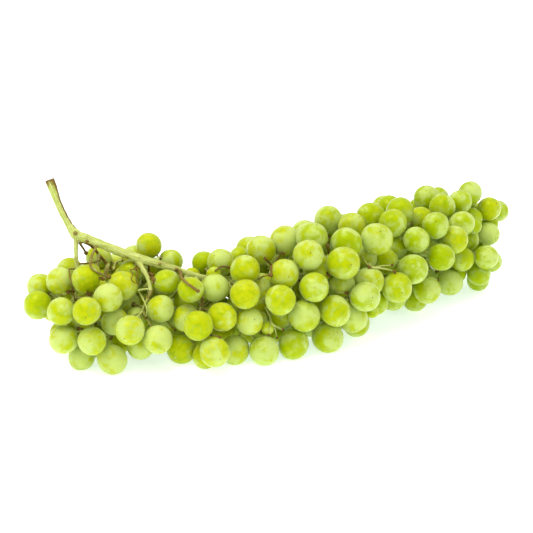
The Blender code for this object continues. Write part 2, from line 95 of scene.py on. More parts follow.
# Its bare side stems: the wing's, a twig behind the knee and the green one under the bare stretch
WING = [(-103, -16, 65, 1.4), (-103, -20, 56, 1.2), (-102, -24, 47, 1.2), (-103, -27, 38, 1.2),
        (-106, -29, 30, 1.1)]
TWIG = [(-101, -15, 63, 1.2), (-96, -8, 57, 0.9), (-92, -3, 49, 0.9), (-86, 0, 40, 0.9)]
SIDE_STEM = [(-70, -18, 52, 1.6), (-64, -26, 45, 1.2), (-62, -31, 39, 1.0)]
BARE_UP_TO = -44       # the main stem carries nothing on its near side before this x
HANGING_FROM = {"wing": 48, "side": 46, "twig": 60}  # height under which each bare stem carries sprays
SIDE_STEMS_UP_TO = -40
NEAR_SIDE = 8          # sprays up to this far behind a stem count as on its near side

# Centre line of the mass of berries: x, y, z, half depth, half height
BODY = [(-126, -24, 33, 10, 12), (-112, -24, 30, 32, 22), (-95, -23, 28, 40, 25), (-75, -21, 27, 41, 26),
        (-50, -20, 25, 38, 24), (-28, -17, 25, 37, 23), (-5, -8, 30, 40, 29), (25, 7, 34, 42, 34),
        (50, 27, 34, 41, 34), (75, 50, 34, 39, 34), (100, 74, 34, 37, 33), (120, 92, 33, 32, 30),
        (135, 104, 33, 14, 16)]
SKIN_POWER_TOP = 2.0   # the section is round on top
SKIN_POWER_FOOT = 3.0  # and squarer below, where it lies
LEAST_HALF = 3         # half width and height that the section keeps at any depth
END_LENGTH = 8         # how far the mass rounds off past its ends

# The near side as the photograph shows it: pixel (x, y) of each berry in its 533-pixel frame, spray by spray,
# first the berries at the skin of the bunch and then those one berry deeper
IN_VIEW = [
    ([(41, 287), (38, 305), (60, 281), (62, 312)], []),
    ([(86, 282), (91, 310), (106, 299), (121, 289)], []),
    ([(64, 339), (92, 341), (112, 358)], [(82, 356)]),
    ([(130, 330), (158, 340)], [(140, 355), (115, 322), (137, 318), (130, 300)]),
    ([(161, 309)], [(168, 287), (186, 302)]),
    ([(199, 327), (222, 317)], [(186, 318)]),
    ([(184, 351), (214, 354)], [(205, 360)]),
    ([(235, 346), (264, 350)], [(248, 318)]),
    ([(215, 288), (247, 299), (245, 270)], []),
    ([(261, 250), (287, 241), (290, 272)], []),
    ([(281, 298), (307, 319)], [(290, 316), (263, 286)]),
    ([(295, 344), (328, 338)], []),
    ([(313, 289), (336, 314)], [(318, 272), (342, 284)]),
    ([(312, 247), (311, 262)], [(307, 236)]),
    ([(338, 263), (347, 244)], []),
    ([(329, 220)], [(351, 226)]),
    ([(371, 217)], [(389, 207)]),
    ([(400, 212), (393, 224)], [(420, 219)]),
    ([(374, 241)], [(369, 252), (388, 261), (400, 246)]),
    ([(352, 317), (366, 296), (370, 283)], [(356, 325)]),
    ([(397, 286), (409, 271)], [(420, 267), (393, 298), (376, 300)]),
    ([(414, 240), (441, 257)], [(433, 243)]),
    ([(427, 199), (443, 208)], [(438, 198)]),
    ([(436, 226), (460, 223), (451, 240)], []),
    ([(460, 202), (470, 193)], []),
    ([(489, 209), (488, 234), (498, 211)], []),
    ([(461, 261), (487, 259)], [(468, 240), (493, 264)]),
    ([(451, 281), (427, 290)], [(415, 297)]),
    ([(480, 272)], [(478, 281)]),
]
# Berries that show over the bare stem from behind it
BEHIND = [[(99, 258), (117, 266), (134, 257)], [(149, 246), (170, 261)], [(204, 263)]]
DEEPER = 16.0
DEEPER_SIZE = 0.91     # berries with less room stay smaller
BEHIND_DEPTH = 7.0
NEAR_MISS = 1.35       # a sight line this far past the skin still meets the bunch

# The photograph's view: where the eye is, how far it looks down and its focal length in pixels
EYE = np.array([0.0, -661.6, 283.0])
EYE_TILT = math.radians(20)
EYE_FOCAL = 1258.5
EYE_MIDDLE = 266.5
LOOK_FROM, LOOK_TO, LOOK_STEP = 540, 900, 1.5

# The far side and the underside: sprays at even shares of the surface
HIDDEN_SPRAYS = 20
HIDDEN_BERRIES = 3.6
HIDDEN_FROM = math.radians(145)
HIDDEN_OVER = math.radians(150)
HIDDEN_SPREAD = 1.24   # between its berries, in radii
HIDDEN_ROUNDING = 60.0
GOLDEN_SHARE = 0.618034
HIDDEN_TURN = 0.3

# How the berries settle
STEPS = 360
SMALLEST = 0.6
HELD_UNTIL, LATE_UNTIL = 0.75, 0.85
HOLD = 0.3             # how firmly a berry in view keeps to its sight line
HOLD_LATE = 0.12
YIELD_IN_VIEW = 0.25   # its share of a push between it and a hidden berry
HOMING = 0.03
HOMING_IN_VIEW = 0.01
SKIN_PULL = 0.15       # back to the skin of the bunch
STEM_PUSH = 0.5
PEDICEL_PULL = 0.3
PEDICEL_ROOM = 0.5     # clear space beside another spray's pedicel
HOLDER_SHARE = 0.3     # of a push from a pedicel, what the berry on it takes
SINK_STEP = 0.1


def unit(v):
    return v / np.maximum(np.linalg.norm(v, axis=-1, keepdims=True), 1e-9)


def smooth_line(points, per):
    """Points on a Catmull-Rom curve through the given ones, per of them for each stretch."""
    p = np.array(points, float)
    p = np.vstack([2 * p[0] - p[1], p, 2 * p[-1] - p[-2]])
    line = []
    for i in range(1, len(p) - 2):
        for u in np.arange(per) / per:
            bend = (2 * p[i] + (p[i + 1] - p[i - 1]) * u
                    + (2 * p[i - 1] - 5 * p[i] + 4 * p[i + 1] - p[i + 2]) * u ** 2
                    + (3 * p[i] - p[i - 1] - 3 * p[i + 1] + p[i + 2]) * u ** 3)
            line.append(0.5 * bend)
    return np.array(line + [p[-2]])


def lengths_along(line):
    steps = np.linalg.norm(np.diff(line[:, :3], axis=0), axis=1)
    return np.concatenate([[0], np.cumsum(steps)])


def evenly(line, spacing):
    """The line again, with its points at even spacing."""
    along = lengths_along(line)
    places = np.linspace(0, along[-1], max(2, round(along[-1] / spacing) + 1))
    return np.stack([np.interp(places, along, line[:, i]) for i in range(line.shape[1])], -1)


def off_segments(p, a, b):
    """From the nearest point of each segment a-b to each point p."""
    ab = b - a
    share = ((p[:, None] - a[None]) * ab[None]).sum(-1) / np.maximum((ab ** 2).sum(-1), 1e-9)[None]
    return p[:, None] - (a[None] + np.clip(share, 0, 1)[..., None] * ab[None])


class Body:
    """The mass of berries as a bent tube, round above and squarer below."""

    def __init__(self):
        line = smooth_line(BODY, 10)
        self.centre = line[:, :3]
        self.half = line[:, 3:]
        self.along = lengths_along(line)
        self.forward = unit(np.gradient(self.centre, axis=0))
        self.near_side = unit(np.cross(self.forward, [0, 0, 1.0]))
        self.top = np.cross(self.near_side, self.forward)

    def station(self, p):
        return np.argmin(((p[:, None] - self.centre[None]) ** 2).sum(-1), axis=1)

    def depth(self, p, inset):
        """1 on the surface that lies inset under the skin, less inside it and more outside."""
        k = self.station(p)
        away = p - self.centre[k]
        across = (away * self.near_side[k]).sum(-1) / np.maximum(self.half[k, 0] - inset, LEAST_HALF)
        up = (away * self.top[k]).sum(-1) / np.maximum(self.half[k, 1] - inset, LEAST_HALF)
        past_end = (away * self.forward[k]).sum(-1) / END_LENGTH
        power = np.where(up < 0, SKIN_POWER_FOOT, SKIN_POWER_TOP)
        return (np.abs(across) ** power + np.abs(up) ** power + np.abs(past_end) ** power) ** (1 / power)


def sight(x, y):
    """Direction from the eye through a pixel of the photograph."""
    ahead = np.array([0, math.cos(EYE_TILT), -math.sin(EYE_TILT)])
    up = np.array([0, math.sin(EYE_TILT), math.cos(EYE_TILT)])
    right = np.array([1.0, 0, 0])
    return unit(ahead + right * (x - EYE_MIDDLE) / EYE_FOCAL - up * (y - EYE_MIDDLE) / EYE_FOCAL)


def seen_at(body, line, radius, deeper):
    """Where a sight line meets the skin of the bunch, or the table in front of it."""
    p = EYE + line * np.arange(LOOK_FROM, LOOK_TO, LOOK_STEP)[:, None]
    depth = body.depth(p, radius)
    on_table = p[:, 2] <= radius - FLATTENED
    table = np.argmax(on_table) if on_table.any() else len(p) - 1
    inside = (depth <= 1) & (p[:, 2] > radius)
    if inside.any():
        k = min(np.argmax(inside), table)
    else:
        k = np.argmin(depth[:table])
        if depth[k] > NEAR_MISS:
            k = table
    home = p[k] + line * deeper
    home[2] = max(home[2], radius - FLATTENED)
    return home


def lay_seen(body, rng):
    """Home, radius, spray and sight line of each berry in view."""
    rows = [[(x, y, 0) for x, y in skin] + [(x, y, DEEPER) for x, y in inner] for skin, inner in IN_VIEW]
    rows += [[(x, y, None) for x, y in berries] for berries in BEHIND]
    laid = []
    for spray, row in enumerate(rows):
        for x, y, deeper in row:
            line = sight(x, y)
            behind = EYE + line * (BEHIND_DEPTH - EYE[1]) / line[1]
            rough = behind if deeper is None else seen_at(body, line, USUAL_RADIUS, deeper)
            place = body.along[body.station(rough[None])[0]]
            radius = np.interp(place, *np.array(BERRY_RADII).T) + BERRY_SPREAD * np.clip(rng.normal(), -2, 2)
            radius *= 1.0 if deeper == 0 else DEEPER_SIZE
            home = behind if deeper is None else seen_at(body, line, radius, deeper)
            laid.append((home, radius, spray, line))
    return laid


def lay_hidden(body, rng, first):
    """The same for the far side and the underside, at even shares of the surface."""
    girth = np.sqrt((body.half ** 2).sum(1) / 2)
    area = np.concatenate([[0], np.cumsum((girth[1:] + girth[:-1]) / 2 * np.diff(body.along))])
    laid = []
    for h in range(HIDDEN_SPRAYS):
        place = np.interp((h + 0.5) / HIDDEN_SPRAYS * area[-1], area, body.along)
        k = np.searchsorted(body.along, place)
        mean = np.interp(place, *np.array(BERRY_RADII).T)
        turn = HIDDEN_FROM + HIDDEN_OVER * ((h * GOLDEN_SHARE + HIDDEN_TURN) % 1)
        out = (math.cos(turn) * body.near_side[k] * (body.half[k, 0] - mean)
               + math.sin(turn) * body.top[k] * (body.half[k, 1] - mean))
        round_it = unit(np.cross(out, body.forward[k]))
        for j in range(int((h + 1) * HIDDEN_BERRIES) - int(h * HIDDEN_BERRIES)):
            radius = mean + BERRY_SPREAD * np.clip(rng.normal(), -2, 2)
            spread = HIDDEN_SPREAD * mean * math.sqrt(j)
            turn_here = j * GOLDEN_TURN + h
            flat = math.cos(turn_here) * body.forward[k] + math.sin(turn_here) * round_it
            home = body.centre[k] + out + spread * flat - unit(out) * spread ** 2 / HIDDEN_ROUNDING
            home[2] = max(home[2], radius - FLATTENED)
            laid.append((home, radius, first + h, np.zeros(3)))
    return laid


def carriers():
    """The stems that side branches grow from, with a free place every few millimetres."""
    lines = {"rachis": RACHIS, "wing": WING, "side": SIDE_STEM, "twig": TWIG}
    return {name: evenly(smooth_line(points, 6), SPOT_SPACING) for name, points in lines.items()}


def main_segments():
    """Start, end and radius of every piece of the main stem and its bare side stems."""
    lines = [smooth_line(PEDUNCLE, 3)] + list(carriers().values())
    a = np.vstack([line[:-1, :3] for line in lines])
    b = np.vstack([line[1:, :3] for line in lines])
    radius = np.concatenate([np.maximum(line[:-1, 3], line[1:, 3]) for line in lines])
    return a, b, np.where(radius > THICK, np.maximum(radius, RACHIS_RADIUS), radius)


def lay_branches(body, home, radius, spray):
    """A side branch for each spray, from the best free place that leaves the other stems clear."""
    spots, ways, radii, kinds = [], [], [], []
    for name, line in carriers().items():
        forward = unit(np.gradient(line[:, :3], axis=0))
        forward[-1] = 0
        for i in range(1, len(line)):
            if name == "rachis" or line[i, 2] < HANGING_FROM[name]:
                spots.append(line[i, :3])
                ways.append(forward[i])
                radii.append(max(line[i, 3], RACHIS_RADIUS if name == "rachis" else SIDE_RADIUS))
                kinds.append(name)
    spots, ways, radii = np.array(spots), np.array(ways), np.array(radii)
    on_rachis = np.array([name == "rachis" for name in kinds])
    taken = np.zeros(len(spots), bool)
    stem_a, stem_b, stem_r = main_segments()
    roots, starts, tips = [], [], []
    for k in range(spray.max() + 1):
        heart = home[spray == k].mean(0)
        mean = radius[spray == k].mean()
        near = body.station(heart[None])[0]
        want = heart + (body.centre[near] - heart) * INWARD - body.forward[near] * UPSTREAM
        way = unit(heart - spots)
        reach = np.linalg.norm(heart - spots, axis=1)
        tip = spots + way * np.maximum(reach - mean - BRANCH_SHORT, radii + BRANCH_LEAST)[:, None]
        start_at = np.maximum(ROOT_SHARE * np.linalg.norm(tip - spots, axis=1), radii + ROOT_LEAST)
        start = spots + way * start_at[:, None]
        cost = np.linalg.norm(spots - want, axis=1) + TAKEN * taken
        cost += TOO_STEEP * np.maximum(np.abs((way * ways).sum(-1)) - STEEP, 0)
        bare = on_rachis & (spots[:, 0] < BARE_UP_TO) & (heart[1] < spots[:, 1] + NEAR_SIDE)
        cost += WRONG_SIDE * bare + WRONG_SIDE * (~on_rachis & (heart[0] > SIDE_STEMS_UP_TO))
        for share in np.linspace(0, 1, 7):
            outer = start + (tip - start) * share
            room = np.linalg.norm(off_segments(outer, stem_a, stem_b), axis=2) - stem_r - BRANCH_RADIUS
            cost += CROSSING * (room.min(1) < STEM_ROOM - 0.1)
            if roots:
                whole = spots + (tip - spots) * share
                room = np.linalg.norm(off_segments(outer, np.array(roots), np.array(tips)), axis=2)
                other = np.linalg.norm(off_segments(whole, np.array(starts), np.array(tips)), axis=2)
                cost += CROSSING * (np.minimum(room, other).min(1) < 2 * BRANCH_RADIUS + APART)
        best = int(np.argmin(cost))
        taken[best] = True
        roots.append(spots[best])
        starts.append(start[best])
        tips.append(tip[best])
    return np.array(roots), np.array(starts), np.array(tips)


def pedicels(berry, radius, spray, starts, tips):
    """Root of each pedicel on its own branch, and the way from there to its berry."""
    a, b = starts[spray], tips[spray]
    share = ((berry - a) * (b - a)).sum(-1, keepdims=True) / ((b - a) ** 2).sum(-1, keepdims=True)
    root = a + (b - a) * np.clip(share - PEDICEL_BACK, FIRST_PEDICEL, 1)
    way = berry - root
    length = np.linalg.norm(way, axis=1, keepdims=True)
    return root, way / length, length


def grow():
    """Swell the berries until each has its room. Millimetres, with the bunch as the photograph shows it."""
    rng = np.random.default_rng(SEED)
    body = Body()
    laid = lay_seen(body, rng)
    laid += lay_hidden(body, rng, len(IN_VIEW) + len(BEHIND))
    home, radius, spray, line = (np.array([row[i] for row in laid]) for i in range(4))
    roots, starts, tips = lay_branches(body, home, radius, spray)
    stem_a, stem_b, stem_r = main_segments()
    stem_a, stem_b = np.vstack([stem_a, roots]), np.vstack([stem_b, tips])
    stem_r = np.concatenate([stem_r, np.full(len(roots), BRANCH_RADIUS)])
    in_view = np.abs(line).sum(1) > 0
    same = spray[:, None] == spray[None]
    both = radius[:, None] + radius[None]
    need = np.where(same, both, both + APART)
    gives = 0.5 + (0.5 - YIELD_IN_VIEW) * (in_view[None].astype(float) - in_view[:, None])
    homing = np.where(in_view, HOMING_IN_VIEW, HOMING)[:, None]
    p = home.copy()
    for step in range(STEPS):
        done = step / STEPS
        size = min(1.0, SMALLEST + done)
        hold = HOLD if done < HELD_UNTIL else HOLD_LATE if done < LATE_UNTIL else 0.0
        on_line = EYE + line * ((p - EYE) * line).sum(-1, keepdims=True)
        p = p + np.where(in_view[:, None], (on_line - p) * hold, 0)
        if done < HELD_UNTIL:
            p = p + (home - p) * homing
            depth = body.depth(p, radius * 0.9)
            back = np.where((depth > 1) & ~in_view, (depth - 1) / depth * SKIN_PULL, 0)
            p = p - back[:, None] * (p - body.centre[body.station(p)])
        # berries press each other away
        gap = p[:, None] - p[None]
        far = np.sqrt((gap ** 2).sum(-1)) + 1e-9
        lack = np.maximum(need * size - far, 0)
        np.fill_diagonal(lack, 0)
        push = (gap / far[..., None] * (lack * gives)[..., None]).sum(1)
        p = p + push / np.sqrt((lack > 0).sum(1).clip(1))[:, None]
        # stems keep their room
        gap = off_segments(p, stem_a, stem_b)
        far = np.linalg.norm(gap, axis=2) + 1e-9
        lack = np.maximum(radius[:, None] * size + stem_r[None] + STEM_ROOM - far, 0)
        p = p + (gap / far[..., None] * lack[..., None]).sum(1) * STEM_PUSH
        # each pedicel holds its berry and keeps clear of other sprays
        root, way, length = pedicels(p, radius, spray, starts, tips)
        p = p - way * np.maximum(length - radius[:, None] - PEDICEL_REACH, 0) * PEDICEL_PULL
        gap = off_segments(p, root, p - way * radius[:, None])
        far = np.linalg.norm(gap, axis=2) + 1e-9
        lack = np.maximum(radius[:, None] * size + PEDICEL_RADIUS + PEDICEL_ROOM - far, 0) * ~same
        push = gap / far[..., None] * lack[..., None] * 0.5
        p = p + push.sum(1) * (1 - HOLDER_SHARE) - push.sum(0) * HOLDER_SHARE
        # the table holds them up, and what is near it sinks onto it
        rest = radius - FLATTENED
        p[:, 2] = np.maximum(p[:, 2], rest)
        p[:, 2] -= np.where(p[:, 2] < rest + SINKING, np.minimum(p[:, 2] - rest, SINK_STEP), 0)
        p = np.round(p, 7)
    root, way, length = pedicels(p, radius, spray, starts, tips)
    return {"berry": p, "radius": radius, "spray": spray, "pedicel_root": root, "pedicel_way": way,
            "root": roots, "start": starts, "tip": tips}


def footprint_middle(bunch):
    """Middle of what the berries cover, which becomes the origin on the table."""
    low = (bunch["berry"] - bunch["radius"][:, None]).min(0)
    high = (bunch["berry"] + bunch["radius"][:, None]).max(0)
    return np.array([(low[0] + high[0]) / 2, (low[1] + high[1]) / 2, 0.0])


# Fine shapes of the berries
SWELL = 1.035          # how much fuller a berry is than the space it grew into
SKIN_SHARE = 0.985     # its plain ball, as a share of that size
LENGTHS = (1.0, 1.08)  # of a berry, as a share of its width
LOBES = 0.012
TAPER = 0.03
TOUCH_GAP = 0.06       # air between two berries that press each other
PRESS_REACH = 1.0      # only neighbours nearer than this press a berry
PRESS_SOFTNESS = 0.25
DIMPLE_DEPTH, DIMPLE_WIDTH = 0.55, 0.035
SCAR_DEPTH, SCAR_WIDTH = 0.12, 0.006
ODD_WAY = (0.31, 0.52, 0.80)  # no stem or berry points just this way
NOISE_APART = 400      # how far apart berries read the noise of their finish
SHADED_INNER_BLOOM = 0.3        # share of its bloom that an inner berry keeps: painted shade that makes inner berries darker and more saturated

# Berries in the hollow of the bunch
INNER_BERRIES = 95
INNER_SIZES = (4.6, 7.3)
LEAST_INNER = 2.2      # smallest radius
INNER_DEPTH = 0.82     # they lie below this share of the way to the skin
INNER_CLEAR = 0.3
INNER_OVERLAP = 0.3    # how much one may lack of its room
TRIES = 8000
PUSHES, PUSH_SHARE = 14, 0.4
ROOMY = 5.5            # with this much room, a berry that fills a gap lies as deep as it can
LONELY = 3.5           # a berry without another this near hangs alone
COMPANY, COMPANY_TRIES = 3, 150
COMPANY_SPREAD, COMPANY_APART = 0.8, 1.5
GAP_DEPTH = 0.8        # sight lines that come deeper than this into the bunch meet a berry
GAP_REACH = 12         # steps within which berries lie on all four sides of a gap
GAP_STEP = 2           # pixels between those sight lines
GAP_WINDOW = (24, 512), (186, 378)  # pixels across and down that hold the bunch
GAP_ASIDE = 4.0 * np.array([(u, v) for u in (-1, -0.5, 0, 0.5, 1) for v in (-1, -0.5, 0, 0.5, 1)])
GAP_OVERLAP = 1.2      # a berry beside its sight line still reaches this far past it
GAP_HIDING = 4.0       # radius with which they must leave the bare stems in sight
GAP_ENDS = 7.0         # space that such berries leave at both ends of the bunch
GAP_ROOM = 0.8         # with less room than this past the smallest size, they may lie nearer to the skin
SHALLOW, DEEP, DEEP_SHARE = 3.0, 6.0, 0.95  # how far they lie under the skin
# Places looked at on a berry to see whether it is hidden, in radii
RIM = np.array([(0, 0, 0), (0.8, 0, 0), (-0.8, 0, 0), (0, 0, 0.8), (0, 0, -0.8)])
SEEN_UP_TO = -34       # the main stem shows up to this x
STEM_CLEAR = 2.5       # space that a berry leaves beside the bare stems, as the eye sees them

# Fine shapes of the stems
TUBE_SIDES = 12
TUBE_START = (0.3, 0.5, 0.8)
PEDICEL_THIN, PEDICEL_WIDER = 0.5, 0.16
COLLAR_WIDER, COLLAR_LENGTH = 1.05, 1.1
PEDICEL_POINTS = 9
PEDICEL_SAG = 0.05     # as a share of its length
PEDICEL_SEAT = 0.1     # how far it goes into the dimple
CUT_DRY = 2.0          # how far the bark is dry from the cut end
BARK_TURNS = 9         # space between places where the bark's dryness changes
BARK_SCALE = 2.5
BARK_APART = 37.0      # how far apart stems read the noise of their finish
STEM_BATCH = 4000      # points looked at together
KNOB_SHADE = 2.3       # how far a knob's dry bark reaches, in its radii
PEDICEL_FINENESS, TWIG_FINENESS = 0.8, 0.7  # of their mesh, as a share of the main stem's
SHADED_SIDES = np.array([[0.95, 0, 0.3], [-0.1, 0, -1]])  # sides where painted shade darkens the bark, above and past the knee
TWIG_DIVE = 1.2        # how steeply a twig may go deeper, for each point along it
TWIG_BEHIND = 6.0      # it lies no farther than this behind the nearest stem
TWIG_STEP, TWIG_AIR = 2.0, 0.15
TWIG_ASIDE = 1.5       # what a root beside the twig's sight line costs
# Swollen nodes and scars of the main stem: place, radius and how dry and brown
NODES = [((-103.5, -15.3, 66.5), 3.1, 0.1), ((-103, -18.2, 68), 0.9, 0.9), ((-70, -17.5, 53.5), 2.7, 0.1),
         ((-97, -18.1, 63), 0.7, 0.8), ((-49, -17, 46.5), 0.7, 0.8), ((-58, -18.9, 50.5), 0.6, 0.7)]
# Dried twigs, bare pedicels and knobs that berries dropped from: pixels of the photograph from root
# to end, radius, how dry and brown, radius of the knob at the end
DRIED = [
    ([(79.5, 243), (83, 248), (86, 253)], 0.68, 0.9, 1.27),
    ([(92, 255), (90.5, 266), (97, 272), (109, 277)], 0.68, 0.8, 1.19),
    ([(90, 263), (95, 262), (100, 260)], 0.45, 0.9, 0.59),
    ([(69, 269), (71, 283), (75, 300)], 0.41, 0.9, 0.59),
    ([(138, 290), (144, 301), (147, 310), (146, 318)], 0.49, 0.2, 0.94),
    ([(130, 270), (133, 274), (131, 279), (135, 283)], 0.34, 1.0, 0.42),
    ([(134, 268), (138, 273), (136, 280), (139, 286)], 0.34, 1.0, 0.42),
    ([(181, 277), (188, 284), (198, 291)], 0.8, 0.85, 1.10),
    ([(215.5, 270.5), (221.6, 266.4), (228.8, 267.4)], 0.52, 0.85, 0.94),
    ([(259, 279), (264, 276), (270, 275)], 0.52, 0.8, 1.02),
    ([(265.5, 308), (270, 317), (272.6, 324), (283, 330)], 0.49, 0.2, 0.85),
    ([(271, 322), (270, 329), (269, 335)], 0.38, 0.4, 0.77),
    ([(274, 326), (276, 333), (277, 338)], 0.38, 0.4, 0.77),
    ([(213, 335), (217, 336), (220, 337)], 0.45, 0.7, 0.77),
    ([(336, 292), (341, 292.5), (347, 293)], 0.56, 0.0, 1.10),
    ([(362, 256), (366, 262), (369, 267)], 0.52, 0.5, 1.02),
    ([(369, 267), (377, 268), (386, 269), (395, 272)], 0.60, 0.05, 1.02),
    ([(372, 268), (380, 266), (392, 265)], 0.45, 0.05, 0.85),
    ([(168, 322), (171, 326), (175, 330)], 0.38, 0.8, 0.68),
    ([(100, 277), (103, 279)], 0.52, 1.0, 1.10),
    ([(87, 291), (89, 294)], 0.52, 1.0, 1.10),
    ([(66, 291), (68, 293)], 0.52, 1.0, 1.02),
    ([(77, 327), (79, 329)], 0.52, 1.0, 1.10),
    ([(150, 272), (152, 275)], 0.60, 1.0, 1.27),
    ([(153, 277), (154, 280)], 0.60, 1.0, 1.19),
    ([(264, 257), (265.5, 259)], 0.52, 1.0, 1.02),
    ([(271, 266), (271, 270), (271, 275)], 0.60, 1.0, 1.19),
    ([(326, 244), (328, 246)], 0.52, 1.0, 1.10),
    ([(282, 252), (284, 254)], 0.45, 1.0, 0.94),
    ([(327, 274), (329, 275.6)], 0.52, 1.0, 1.02),
]

# The stage, in metres
SOFT_BOX_PLACE, SOFT_BOX_SIZE = (-0.35, -0.25, 1.25), 0.8
SKY_LOW, SKY_HIGH = 0.6, 1.15  # strength of the surround below and above, as a share of its setting


def berry_axes(way, roll):
    """A berry's own axes as rows: two across it and the one from its stem end to its tip."""
    side = unit(np.cross(way, ODD_WAY))
    across = math.cos(roll) * side + math.sin(roll) * np.cross(way, side)
    return np.array([across, np.cross(way, across), way])


def ball(subdivisions):
    """Points and triangles of an even unit ball."""
    shape = bmesh.new()
    bmesh.ops.create_icosphere(shape, subdivisions=subdivisions, radius=1.0)
    points = unit(np.array([vert.co for vert in shape.verts], float))
    faces = [[vert.index for vert in face.verts] for face in shape.faces]
    shape.free()
    return points, faces


def bare_stretch():
    """Points along the stems that no berry hides."""
    lines = [evenly(smooth_line(points, 6), 2.0) for points in (PEDUNCLE, RACHIS, WING, SIDE_STEM)]
    lines[1] = lines[1][lines[1][:, 0] < SEEN_UP_TO]
    return np.vstack(lines)[:, :3]


def hides(spots, size, bare):
    """Whether a berry at each spot would stand before a bare stem."""
    far = np.linalg.norm(spots - EYE, axis=1)
    ways = (spots - EYE) / far[:, None]
    along = ways @ (bare - EYE).T
    beside = np.sqrt(np.maximum(((bare - EYE) ** 2).sum(1)[None] - along ** 2, 0))
    return ((beside < size + STEM_CLEAR) & (far[:, None] < along)).any(1)


def open_to(way, p, radius):
    """Whether a sight line passes every berry."""
    toward = p - EYE
    return ((toward ** 2).sum(1) - (toward @ way) ** 2 > radius ** 2).all()


def out_of_sight(spot, size, p, radius):
    """Whether nearer berries cover a new one's middle and rim, seen from the eye."""
    nearer = np.linalg.norm(p - EYE, axis=1) < np.linalg.norm(spot - EYE)
    return not any(open_to(unit(spot + step * size - EYE), p[nearer], radius[nearer]) for step in RIM)


def gap_ways(p, radius):
    """Sight lines that pass every berry although berries lie on all four sides of them."""
    across, down = (range(*ends, GAP_STEP) for ends in GAP_WINDOW)
    ways = np.array([[sight(x, y) for y in down] for x in across])
    shut = np.array([[not open_to(way, p, radius) for way in column] for column in ways])
    closed = ~shut
    for axis in (0, 1):
        for direction in (1, -1):
            near = np.zeros_like(shut)
            for step in range(1, GAP_REACH + 1):
                moved = np.roll(shut, step * direction, axis)
                edge = [slice(None), slice(None)]
                edge[axis] = slice(0, step) if direction > 0 else slice(-step, None)
                moved[tuple(edge)] = False
                near |= moved
            closed &= near
    return ways[closed]


def step_off(away, reach):
    """A step away from everything that lies nearer than its reach."""
    lack = np.maximum(reach + INNER_CLEAR - np.linalg.norm(away, axis=1), 0)
    return (unit(away) * lack[:, None]).sum(0) * PUSH_SHARE


